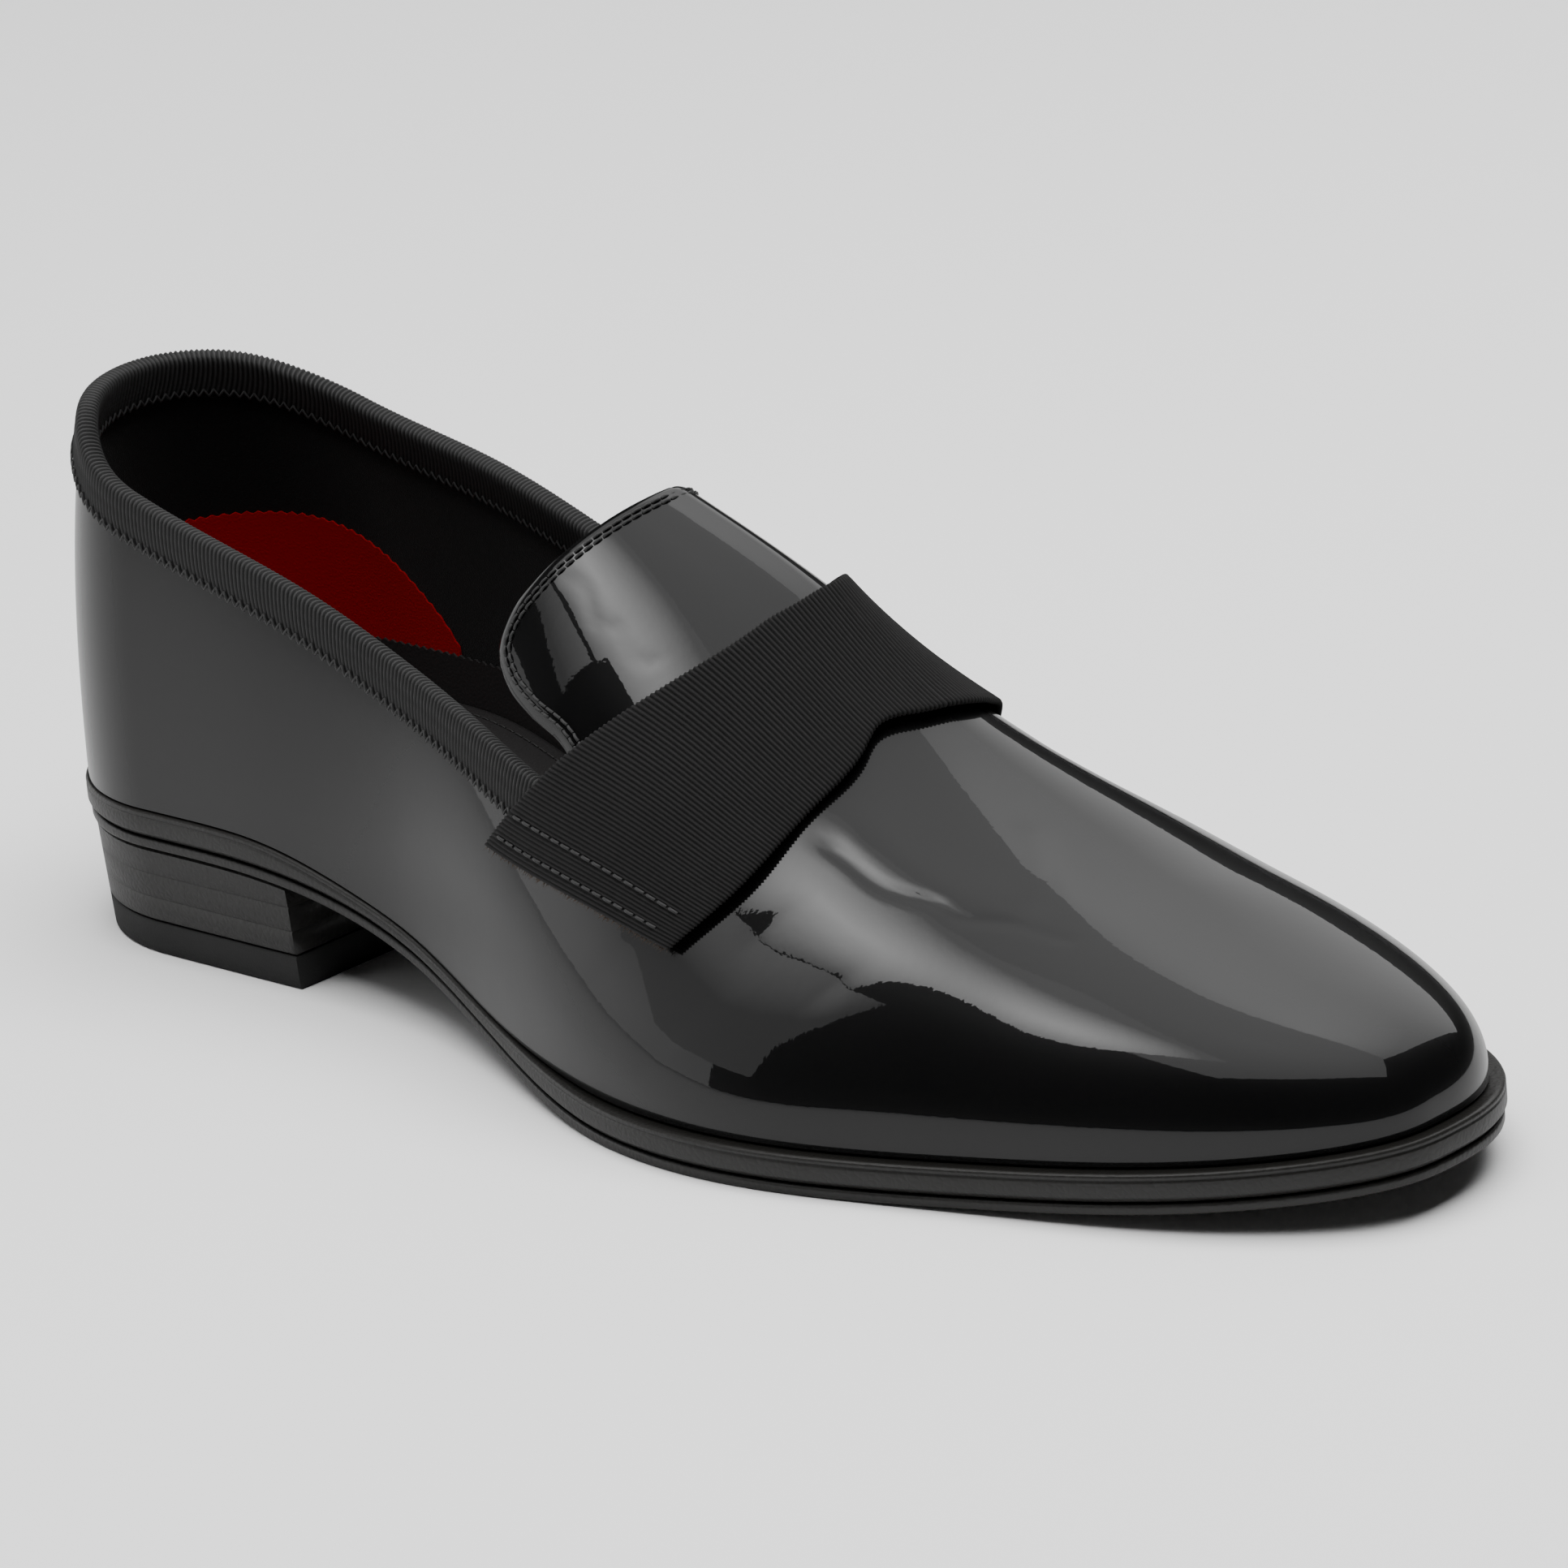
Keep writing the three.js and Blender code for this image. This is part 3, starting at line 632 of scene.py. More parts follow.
# %% Plain finishes
RIB_PITCH, BOW_RIB_PITCH = 0.95, 0.78
LINING = finish("black lining leather", (0.012, 0.011, 0.011), 0.55, grain=0.10, grain_scale=700)
NAP = finish("napped lining", (0.006, 0.006, 0.006), 0.95, grain=0.15, grain_scale=2500, sheen=0.05)
RED = finish("red heel lining", (0.30, 0.001, 0.003), 0.75, grain=0.08, grain_scale=1500)
SOCK = finish("dark sock leather", (0.022, 0.021, 0.021), 0.5, grain=0.08, grain_scale=1100)
THREAD = finish("waxed black thread", (0.03, 0.03, 0.03), 0.45, grain=0.03, grain_scale=4000)
# The ribbon and the binding tape take painted shade between their ribs and a painted highlight on
# them.
RIBBON = finish("grosgrain ribbon", (0.0082, 0.0080, 0.0080), 0.8, grain=0.05, grain_scale=5000,
                rib_pitch=BOW_RIB_PITCH)
TAPE = finish("grosgrain binding tape", (0.017, 0.017, 0.017), 0.55, grain=0.04,
              grain_scale=5000, rib_pitch=RIB_PITCH)
FRAY = finish("frayed ribbon threads", (0.055, 0.035, 0.022), 0.8)
EDGE = finish("waxed sole edge", (0.011, 0.0105, 0.0095), 0.42, grain=0.12, grain_scale=800,
              coat=0.25, coat_rough=0.25)
RUBBER = finish("black rubber", (0.015, 0.015, 0.015), 0.75, grain=0.05, grain_scale=1500)


# %% [markdown]
# Patent leather is a soft leather under a thick clear lacquer. The colour is almost black, so
# nearly all that is seen is the mirror of the lacquer. The lacquer is not flat: it has a slow
# ripple, which frays the edges of a reflection, and a finer one that is barely there.

# %% The patent finish
LACQUER_RIPPLES = [(70.0, 0.030, 1.0), (480.0, 0.0060, 2.0), (1500.0, 0.0020, 1.0)]


def patent_finish():
    """The ripples are rows of scale, depth in millimetres and detail."""
    material, tree, shader = new_material("black patent lacquer")
    set_inputs(shader, {
        "Base Color": (0.0022, 0.0022, 0.0023, 1), "Specular IOR Level": 0.12,
        "Coat Weight": 1.0, "Coat Roughness": 0.012, "Coat IOR": 1.55})
    mottle = add_node(tree, "ShaderNodeGroup", node_tree=MOTTLE)
    set_inputs(mottle, {"Low": 0.25, "High": 0.4})
    tree.links.new(mottle.outputs["Value"], shader.inputs["Roughness"])
    place = add_node(tree, "ShaderNodeTexCoord").outputs["Object"]
    before = {}
    for scale, depth, detail in LACQUER_RIPPLES:
        ripple = add_node(tree, "ShaderNodeTexNoise", {
            "Vector": place, "Scale": scale, "Detail": detail})
        bump = add_node(tree, "ShaderNodeBump", {
            "Distance": depth * MM, "Height": ripple.outputs["Fac"], **before})
        before = {"Normal": bump.outputs["Normal"]}
    for socket in ("Coat Normal", "Normal"):
        tree.links.new(before["Normal"], shader.inputs[socket])
    return material


PATENT = patent_finish()


# %% [markdown]
# The upper is the main piece. Its grid is finest round the tongue, whose edge is seen closest.
# Worn leather is never as even as the last: the vamp breaks in soft troughs where the toes bend,
# so low troughs and ridges, listed one by one, are added to the outer face.

# %% Soft troughs and ridges of the vamp and tongue
# Each row: from at, from round, to at, to round, width and depth in millimetres.
CREASE_GIRTH = 105.0
CREASE_WANDER = 0.9
CREASE_FULL, CREASE_FADE = 0.35, 0.16
CREASES = [
    [0.650, 0.602, 0.734, 0.635, 1.3, -0.26],
    [0.734, 0.635, 0.812, 0.720, 1.5, -0.18],
    [0.650, 0.655, 0.770, 0.720, 5.0, 0.22],
    [0.735, 0.930, 0.780, 0.740, 3.5, -0.16],
    [0.640, 0.44, 0.700, 0.36, 8.0, -0.10],
    [0.660, 1.30, 0.730, 1.42, 5.0, -0.25],
    [0.443, 0.690, 0.482, 0.655, 1.3, -0.07],
    [0.482, 0.655, 0.522, 0.647, 1.3, -0.06],
    [0.560, 0.30, 0.620, 0.20, 12.0, -0.10],
]


def creases(k, round_):
    """Height of all troughs and ridges at a point of the upper, in millimetres."""
    s = station(k)
    total = np.zeros(np.shape(s))
    for a, ra, b, rb, width, depth in CREASES:
        ax, ay, bx, by = a * LENGTH, ra * CREASE_GIRTH, b * LENGTH, rb * CREASE_GIRTH
        x, y = s * LENGTH, round_ * CREASE_GIRTH
        dx, dy = bx - ax, by - ay
        length = math.hypot(dx, dy)
        along = ((x - ax) * dx + (y - ay) * dy) / length ** 2
        across = ((x - ax) * dy - (y - ay) * dx) / length
        wave = CREASE_WANDER * np.sin(along * 7 + a * 40)
        fade = np.exp(-(np.maximum(0, abs(along - 0.5) - CREASE_FULL) / CREASE_FADE) ** 2)
        total += depth * fade * np.exp(-((across + wave) / width) ** 2)
    return total


# %% The upper with its lining side
def grid_steps(parts):
    """Grid lines from rows of start, end and count."""
    runs = [np.linspace(a, b, n, endpoint=False) for a, b, n in parts]
    return np.append(np.concatenate(runs), parts[-1][1])


NOTCH = float(step_of(TOPLINE[-1][0]))
TIP = float(step_of(min(row[0] for row in TONGUE)))
UPPER_STEPS = grid_steps([
    (0, HEEL_STEPS, 36), (HEEL_STEPS, TIP, 66), (TIP, NOTCH, 54),
    (NOTCH, HEEL_STEPS + MID_STEPS, 104), (HEEL_STEPS + MID_STEPS, STEPS, 72)])
UPPER_ROUNDS = np.linspace(0, 2, 161)
EDGE_ROUND = 0.45
wall = cut_wall(UPPER_STEPS, UPPER_ROUNDS, leather, creases, lambda k, r: 0 * k - WALL,
                EDGE_ROUND)
upper = make_object("patent_upper", wall["points"], wall["faces"], PATENT)
upper.data.materials.append(NAP)

# The faces made only of points on the inner side take the second material, the lining.
lined = [int(min(face) >= wall["outer"]) for face in wall["faces"]]
upper.data.polygons.foreach_set("material_index", lined)
print("upper faces:", len(upper.data.polygons))
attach(upper, "root")
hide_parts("upper")


# %% [markdown]
# The sole is seen edge on, as three lines of light: the rounded rim of the midsole, its waxed
# face, and the thin lip of the outsole below. Each layer is a loft: the rows of its edge profile
# are carried round the outline of the last, which stands a little further out at the forefoot.

# %% Outline of the sole
SOLE_STEPS = grid_steps([(0, HEEL_STEPS, 60), (HEEL_STEPS, HEEL_STEPS + MID_STEPS, 130),
                         (HEEL_STEPS + MID_STEPS, STEPS, 90)])


def welt(s):
    return mix(WELT_WAIST, WELT_FORE, smooth(0.40, 0.62, s))


def sole_edge(k, side, grow, step=0.05):
    """Points of the outline, grown outwards, at height nought."""
    edge = last_point(station(k), side, 0.0)
    after = last_point(station(np.minimum(k + step, STEPS)), side, 0.0)
    along = after - last_point(station(np.maximum(k - step, 0)), side, 0.0)
    out = stack(-along[..., 1] * side, along[..., 0] * side, 0.0)
    out[..., 1] = np.where((k <= 0) | (k >= STEPS), 0, out[..., 1])
    return edge * [1, 1, 0] + unit(out) * np.asarray(grow)[..., None]


def sole_ring(grow, height):
    """One closed row of the edge: up the outer side and back down the inner one."""
    k = np.append(SOLE_STEPS, SOLE_STEPS[-2:0:-1])
    side = np.append(-np.ones(len(SOLE_STEPS)), np.ones(len(SOLE_STEPS) - 2))
    s = station(k)
    ring = sole_edge(k, side, grow(s))
    ring[:, 2] = height(s)
    return ring


def sole_layer(name, rows, growth, material):
    """rows of the profile from top to bottom: how far out, and a function for the height."""
    rings = np.array([sole_ring(lambda s, o=out: growth(s) + o, z) for out, z in rows])
    faces = loft(rings, caps=False)
    last, around = len(SOLE_STEPS) - 1, rings.shape[1]
    for base in (0, (len(rows) - 1) * around):
        for i in range(last):
            pair = [i, i + 1, (around - i - 1) % around, (around - i) % around]
            faces.append([base + j for j in dict.fromkeys(pair)])
    return outward(make_object(name, rings.reshape(-1, 3), faces, material, 70))


# %% The midsole, with a rounded rim, a shallow groove and a bevel below
def above_outsole(lift):
    return lambda s: tread(s) + OUTSOLE + SEAT + lift


def below_feather(drop):
    return lambda s: feather(s) - SEAT - drop


midsole = sole_layer("sole_rim", [
    (-4.0, below_feather(0.25)), (-1.3, below_feather(0.12)), (-0.8, below_feather(0.0)),
    (-0.4, below_feather(0.06)), (-0.12, below_feather(0.26)), (0.0, below_feather(0.56)),
    (-0.08, below_feather(0.86)), (-0.22, below_feather(1.02)), (-0.22, below_feather(1.12)),
    (-0.05, below_feather(1.28)), (0.0, below_feather(1.45)), (0.0, above_outsole(1.20)),
    (-0.08, above_outsole(1.02)), (-0.75, above_outsole(0.22)), (-1.0, above_outsole(0.0)),
], welt, EDGE)
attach(midsole, "root")
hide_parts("midsole")


# %% The outsole, a thin lip under it
def above_tread(lift):
    return lambda s: tread(s) + lift


outsole = sole_layer("outsole_lip", [
    (-1.0, above_tread(OUTSOLE)), (-0.68, above_tread(OUTSOLE - 0.06)),
    (-0.52, above_tread(OUTSOLE - 0.28)), (-0.48, above_tread(OUTSOLE - 0.6)),
    (-0.50, above_tread(0.5)), (-0.62, above_tread(0.18)), (-1.0, above_tread(0.0)),
], welt, EDGE)
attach(outsole, "root")
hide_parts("outsole")


# %% [markdown]
# The heel is a block of leather lifts on a rubber top piece. It follows the outline of the sole
# at the back, narrows a little towards the floor and is closed by a slightly hollow breast.

# %% Heel
BREAST_POINTS = 24
heel_steps = np.linspace(0, step_of((HEEL_LENGTH - BREAST_HOLLOW) / LENGTH), 90)


def heel_ring(out, height):
    """One row of the heel; height is a function of the place along the shoe."""
    taper = HEEL_TAPER * (1 - np.clip(height(np.array(0.0)) / HEEL_HEIGHT, 0, 1))
    grow = WELT_WAIST - HEEL_INSET - taper + out
    outer = sole_edge(heel_steps, -1.0 + 0 * heel_steps, grow + 0 * heel_steps)
    inner = sole_edge(heel_steps, 1.0 + 0 * heel_steps, grow + 0 * heel_steps)
    y = np.linspace(outer[-1, 1], inner[-1, 1], BREAST_POINTS + 2)[1:-1]
    x = HEEL_LENGTH - BREAST_HOLLOW * (1 - (y / BALL_WIDTH) ** 2) + min(out, 0)
    ring = np.vstack([outer, stack(x, y, 0), inner[:0:-1]])
    ring[:, 2] = height(ring[:, 0] / LENGTH)
    return ring


def heel_block(name, rows, material):
    rings = np.array([heel_ring(out, z) for out, z in rows])
    around = rings.shape[1]
    middle = [r.mean(0) for r in (rings[0], rings[-1])]
    points = np.vstack([rings.reshape(-1, 3), middle])
    faces = loft(rings, caps=False)
    for base, centre_id in ((0, len(points) - 2), ((len(rows) - 1) * around, len(points) - 1)):
        faces += [(base + i, base + (i + 1) % around, centre_id) for i in range(around)]
    return outward(make_object(name, points, faces, material, 60))


def level(z):
    return lambda s: z + 0 * s


LIFT_JOINTS = (15.0, 10.6)
lifts = [(-0.5, above_tread(-SEAT)), (0.0, above_tread(-SEAT - 0.3))]
for z in LIFT_JOINTS:
    lifts += [(0.0, level(z + 0.2)), (-0.16, level(z + 0.05)), (-0.16, level(z - 0.05)),
              (0.0, level(z - 0.2))]
lifts += [(0.0, level(TOP_PIECE + SEAT + 0.25)), (-0.35, level(TOP_PIECE + SEAT))]
heel = heel_block("heel_lifts", lifts, EDGE)
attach(heel, "root")
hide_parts("heel_base")
top_piece = heel_block("heel_rubber_top", [
    (-0.3, level(TOP_PIECE)), (0.0, level(TOP_PIECE - 0.3)), (0.0, level(0.4)),
    (-0.4, level(0.0))], RUBBER)
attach(top_piece, "root")
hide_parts("heel_top_piece")


# %% [markdown]
# Several pieces lie on the wall of the shoe at a known height: the ribbon that binds the
# topline, the red lining of the heel and the turned-up sock. One helper walks round the wall
# from the outer side over the heel to the inner side and finds the last at any height.

# %% Find the wall at a height
def at_height(u, z):
    """Place on the last at height z. u counts steps from the heel: negative on the outer side."""
    u, z = np.broadcast_arrays(np.asarray(u, float), z)
    k, side = np.abs(u), np.where(u <= 0, -1.0, 1.0)
    low, high = np.zeros(k.shape), np.full(k.shape, 0.98)
    for _ in range(24):
        half = (low + high) / 2
        under = last_point(station(k), side, half)[..., 2] < z
        low, high = np.where(under, half, low), np.where(under, high, half)
    return k, np.where(side < 0, half, 2 - half)


def wall_top(u):
    s = station(np.abs(u))
    return np.where(u <= 0, topline_height(-1, s), topline_height(1, s))


def steps_between(start, end, pitch):
    """Evenly spaced values of u along the topline from start to end, and their lengths."""
    u = np.linspace(start, end, 1200)
    length = running_length(skin(*at_height(u, wall_top(u))))
    count = max(2, int(round(length[-1] / pitch)))
    even = np.linspace(0, length[-1], count + 1)
    return np.interp(even, length, u), even


# %% [markdown]
# Ribs, stitches and loose threads repeat, so each is a small Geometry Nodes tree with its sizes
# as inputs. The result is turned into a plain mesh, so that it exports as it looks.

# %% Run a node tree on an object and keep the mesh
def run_tree(piece, tree, values):
    """Sets the inputs by the identifier of their sockets, then keeps the evaluated mesh."""
    modifier = piece.modifiers.new("tree", "NODES")
    modifier.node_group = tree
    sockets = {i.name: i.identifier for i in tree.interface.items_tree if i.in_out == "INPUT"}
    for name, value in values.items():
        modifier[sockets[name]] = value
    evaluated = piece.evaluated_get(bpy.context.evaluated_depsgraph_get())
    mesh = bpy.data.meshes.new_from_object(evaluated)
    piece.modifiers.remove(modifier)
    piece.data = mesh
    print(piece.name, "faces:", len(mesh.polygons))
    return piece


def new_tree(name, inputs):
    """An empty tree with Geometry in and out, and its named inputs."""
    tree = bpy.data.node_groups.new(name, "GeometryNodeTree")
    tree.interface.new_socket("Geometry", in_out="INPUT", socket_type="NodeSocketGeometry")
    tree.interface.new_socket("Geometry", in_out="OUTPUT", socket_type="NodeSocketGeometry")
    for label, kind in inputs:
        tree.interface.new_socket(label, in_out="INPUT", socket_type="NodeSocket" + kind)
    return tree, tree.nodes.new("NodeGroupInput"), tree.nodes.new("NodeGroupOutput")


def math_node(tree, operation, *values):
    return add_node(tree, "ShaderNodeMath", dict(enumerate(values)), operation=operation).outputs[0]


def vector_node(tree, operation, *values):
    return add_node(
        tree, "ShaderNodeVectorMath", dict(enumerate(values)), operation=operation).outputs[0]


def scaled(tree, vector, factor):
    return add_node(
        tree, "ShaderNodeVectorMath", {0: vector, "Scale": factor}, operation="SCALE").outputs[0]


def attribute_node(tree, name, kind):
    return add_node(
        tree, "GeometryNodeInputNamedAttribute", {"Name": name}, data_type=kind,
    ).outputs["Attribute"]


def finish_tree(tree, geometry, source, result):
    """Every tree ends the same way: real geometry, smooth faces and its material."""
    real = add_node(tree, "GeometryNodeRealizeInstances", {0: geometry})
    shade = add_node(tree, "GeometryNodeSetShadeSmooth", {"Geometry": real.outputs[0]})
    paint = add_node(tree, "GeometryNodeSetMaterial", {
        "Geometry": shade.outputs[0], "Material": source.outputs["Material"]})
    tree.links.new(paint.outputs[0], result.inputs[0])
    return tree


# %% Ribs: a woven ridge every pitch of the stored length
def rib_tree():
    tree, source, result = new_tree("woven ribs", [
        ("Pitch", "Float"), ("Height", "Float"), ("Material", "Material")])
    length = attribute_node(tree, "along", "FLOAT")
    turns = math_node(tree, "DIVIDE", length, source.outputs["Pitch"])
    wave = math_node(tree, "COSINE", math_node(tree, "MULTIPLY", turns, 2 * math.pi))
    rise = math_node(tree, "MULTIPLY", wave, source.outputs["Height"])
    normal = add_node(tree, "GeometryNodeInputNormal").outputs[0]
    move = add_node(tree, "GeometryNodeSetPosition", {
        "Geometry": source.outputs["Geometry"], "Offset": scaled(tree, normal, rise)})
    return finish_tree(tree, move.outputs[0], source, result)


RIBS = rib_tree()


def store(piece, name, values, kind="FLOAT"):
    attribute = piece.data.attributes.new(name, kind, "POINT")
    field = "vector" if kind == "FLOAT_VECTOR" else "value"
    attribute.data.foreach_set(field, np.asarray(values, np.float32).ravel())


# %% [markdown]
# The binding is one long ribbon folded over the topline and sewn down on both sides. Its ribs
# lean, because the ribbon was stretched round the curve.

# %% Topline binding
BINDING_END = 0.487
BINDING_PROFILE = [
    (6.6, 0.62), (6.3, 0.74), (5.4, 0.76), (4.5, 0.78), (3.6, 0.80), (2.7, 0.80), (1.8, 0.80),
    (0.9, 0.80), (0.1, 0.76), (-0.45, 0.52), (-0.80, 0.02), (-0.92, -0.6), (-0.92, -1.4),
    (-0.80, -2.02), (-0.45, -2.52), (0.1, -2.76), (0.9, -2.80), (1.8, -2.80), (2.7, -2.80),
    (3.6, -2.80), (4.5, -2.78), (5.4, -2.76), (6.2, -2.74), (6.4, -2.6), (6.3, -2.2),
    (3.0, -2.16), (0.0, -2.14), (-0.2, -1.9), (-0.2, -0.1), (0.0, 0.14), (3.0, 0.16),
    (6.4, 0.18),
]
RIB_LEAN = 1.5
end_step = float(step_of(BINDING_END))
binding_u, binding_length = steps_between(-end_step, end_step, RIB_PITCH / 4)
depth, reach = np.array(BINDING_PROFILE).T
u_grid = binding_u[:, None] + 0 * depth
binding_k, binding_round = at_height(u_grid, wall_top(u_grid) - depth)
binding_rings = skin(binding_k, binding_round, reach + 0 * u_grid)
binding = make_object("topline_binding", binding_rings.reshape(-1, 3), loft(binding_rings), TAPE, 60)
lean = RIB_LEAN * (depth / BINDING_DEPTH) ** 2
store(binding, "along", (binding_length[:, None] + lean) * MM)
run_tree(binding, RIBS, {"Pitch": RIB_PITCH * MM, "Height": 0.20 * MM, "Material": TAPE})
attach(binding, "root")
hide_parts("binding")


# %% [markdown]
# The bow is a single flat band of doubled ribbon laid across the vamp, both ends cut straight and
# sewn down. Its two long edges curl up off the leather, so the front one throws a dark gap.

# %% Bow
BOW_THICK, BOW_LIFT = 1.1, 4.0
BOW_BASE = SEAT + BINDING_THICK + SEAT
BOW_EASE = 2.2


def bow_point(v, w, height):
    """v from the outer to the inner end, w from the rear to the front edge."""
    v, w, height = np.broadcast_arrays(*(np.asarray(x, float) for x in (v, w, height)))
    s = mix(bow_shape["rear"](v), bow_shape["front"](v), w)
    outer = mix(BOW_OUTER_END["rear"], BOW_OUTER_END["front"], w)
    inner = mix(BOW_INNER_END["rear"], BOW_INNER_END["front"], w)
    rest = mix(BOW_BASE, SEAT, smooth(0.10, 0.30, v) * (1 - smooth(0.70, 0.90, v)))
    front = np.maximum(0, bow_shape["lift"](v)) * np.clip(w, 0, 1) ** BOW_EASE
    rear = np.maximum(0, bow_shape["curl"](v)) * np.clip(1 - w, 0, 1) ** BOW_EASE
    return skin(step_of(s), mix(outer, inner, v), rest + BOW_LIFT * (front + rear) + height)


top_w = np.linspace(0, 1, 24)
BOW_PROFILE = [(w, BOW_THICK) for w in top_w[1:-1]]
BOW_PROFILE += [(0.992, 1.06), (1.001, 0.86), (1.004, 0.55), (1.001, 0.24), (0.992, 0.03)]
BOW_PROFILE += [(w, 0.0) for w in top_w[::-1][1:-1]]
BOW_PROFILE += [(0.008, 0.03), (-0.001, 0.24), (-0.004, 0.55), (-0.001, 0.86), (0.008, 1.06)]
bow_w, bow_height = np.array(BOW_PROFILE).T
middle_v = np.linspace(0, 1, 600)
middle_length = running_length(bow_point(middle_v, 0.5, BOW_THICK))
BOW_LENGTH = middle_length[-1]
even = np.linspace(0, BOW_LENGTH, int(BOW_LENGTH / BOW_RIB_PITCH * 4) + 1)
bow_v = np.interp(even, middle_length, middle_v)
bow_rings = bow_point(bow_v[:, None], bow_w, bow_height)
bow = make_object("ribbon_bow", bow_rings.reshape(-1, 3), loft(bow_rings), RIBBON, 60)
store(bow, "along", (even[:, None] + 0 * bow_w) * MM)
run_tree(bow, RIBS, {"Pitch": BOW_RIB_PITCH * MM, "Height": 0.14 * MM, "Material": RIBBON})
print("bow and binding length, mm:", round(BOW_LENGTH, 1), round(binding_length[-1], 1))
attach(bow, "root")
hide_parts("bow")


# %% [markdown]
# A stitch is a short round thread that rises a little in its middle. Every stitch is one edge of
# a mesh, and the tree sweeps a circle along each edge, bending it outwards along a stored normal.

# %% Stitches
def stitch_tree():
    tree, source, result = new_tree("stitches", [
        ("Thickness", "Float"), ("Bulge", "Float"), ("Material", "Material")])
    line = add_node(tree, "GeometryNodeMeshToCurve", {"Mesh": source.outputs["Geometry"]})
    fine = add_node(tree, "GeometryNodeResampleCurve", {"Curve": line.outputs[0], "Count": 6})
    place = add_node(tree, "GeometryNodeSplineParameter").outputs["Factor"]
    arc = math_node(tree, "SINE", math_node(tree, "MULTIPLY", place, math.pi))
    bulge = math_node(tree, "MULTIPLY", arc, source.outputs["Bulge"])
    out = attribute_node(tree, "out", "FLOAT_VECTOR")
    move = add_node(tree, "GeometryNodeSetPosition", {
        "Geometry": fine.outputs[0], "Offset": scaled(tree, out, bulge)})
    thread = add_node(tree, "GeometryNodeCurvePrimitiveCircle", {
        "Resolution": 6, "Radius": math_node(tree, "MULTIPLY", source.outputs["Thickness"], 0.5)})
    sweep = add_node(tree, "GeometryNodeCurveToMesh", {
        "Curve": move.outputs[0], "Profile Curve": thread.outputs[0], "Fill Caps": True})
    return finish_tree(tree, sweep.outputs[0], source, result)


STITCHES = stitch_tree()


def stitch_ends(line, normals, pitch, share=0.8):
    """Cuts a line of points into stitches: start and end of each, and the way out."""
    length = running_length(line)
    starts = np.arange(pitch * 0.2, length[-1] - pitch, pitch)
    at = np.stack([starts, starts + pitch * share], axis=1).ravel()
    point = np.stack([np.interp(at, length, line[:, i]) for i in range(3)], axis=1)
    out = np.stack([np.interp(at, length, normals[:, i]) for i in range(3)], axis=1)
    return point, out


def sew(name, rows, thickness, bulge, material):
    """One piece from all stitches of some rows."""
    points = np.vstack([p for p, _ in rows])
    mesh = bpy.data.meshes.new(name)
    edges = [(i, i + 1) for i in range(0, len(points), 2)]
    mesh.from_pydata(((points + SHIFT) * MM).tolist(), edges, [])
    piece = bpy.data.objects.new(name, mesh)
    bpy.context.scene.collection.objects.link(piece)
    store(piece, "out", unit(np.vstack([n for _, n in rows])), "FLOAT_VECTOR")
    run_tree(piece, STITCHES, {"Thickness": thickness * MM, "Bulge": bulge * MM,
                               "Material": material})
    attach(piece, "root")
    return piece


# %% Two rows round the edge of the tongue
def tongue_line(inset):
    """A line on the upper at a distance from the tongue's edge, over the crown."""
    halves = []
    for side in (-1, 1):
        edge = tongue_edge(side)
        run = np.gradient(edge, axis=0)
        ahead = unit(np.stack([run[:, 1], -run[:, 0]], axis=1))
        line = edge + ahead * inset
        k = step_of(line[:, 0] / LENGTH)
        kept = line[:, 1] < skin(k, 1.0 + 0 * k)[:, 2] - 0.05
        k, z = k[kept], line[kept, 1]
        halves.append(np.stack(at_height(k * side, z), axis=1))
    return np.vstack([halves[0], halves[1][::-1]])


def on_upper(line, offset):
    k, r = line[:, 0], line[:, 1]
    point = skin(k, r, creases(k, r) + offset)
    return point, unit(skin(k, r, 1.0) - skin(k, r, 0.0))


TONGUE_INSETS = (1.7, 2.6)
TONGUE_PITCH = 1.9
tongue_rows = [stitch_ends(*on_upper(tongue_line(inset), 0.05), TONGUE_PITCH, 0.82)
               for inset in TONGUE_INSETS]
sew("tongue_stitches", tongue_rows, 0.50, 0.22, THREAD)


# %% A zigzag along the lower edge of the binding, outside and inside
def zigzag(depth_a, depth_b, offset, pitch):
    u, _ = steps_between(-end_step, end_step, pitch)
    near = np.arange(len(u)) % 2 == 0
    z = wall_top(u) - np.where(near, depth_a, depth_b)
    k, r = at_height(u, z)
    point = skin(k, r, offset + 0 * k)
    out = unit(skin(k, r, 1.0) - skin(k, r, 0.0)) * np.sign(offset)
    pairs = np.stack([point[:-1], point[1:]], axis=1).reshape(-1, 3)
    return pairs, np.stack([out[:-1], out[1:]], axis=1).reshape(-1, 3)


ZIGZAG_PITCH = 0.95
sew("binding_stitches", [zigzag(5.5, 6.9, 0.98, ZIGZAG_PITCH), zigzag(5.3, 6.6, -2.98, ZIGZAG_PITCH)],
    0.40, 0.14, THREAD)


# %% Two rows across each end of the bow
def bow_line(from_end, inner):
    w = np.linspace(0.03, 0.97, 60)
    v = from_end / BOW_LENGTH
    v = 1 - v if inner else v
    point = bow_point(v, w, BOW_THICK + 0.03)
    return point, unit(bow_point(v, w, BOW_THICK + 1.0) - bow_point(v, w, 0.0))


BOW_ROWS_AT = (1.9, 5.3)
BOW_PITCH = 2.5
bow_rows = [stitch_ends(*bow_line(from_end, inner), BOW_PITCH, 0.72)
            for from_end in BOW_ROWS_AT for inner in (False, True)]
sew("bow_stitches", bow_rows, 0.52, 0.22, THREAD)


# %% [markdown]
# The ends of the bow are cut raw, and their cut threads stand out as a short brown fringe. Each
# thread is a thin cone at a point of the end, turned at random with a fixed seed.

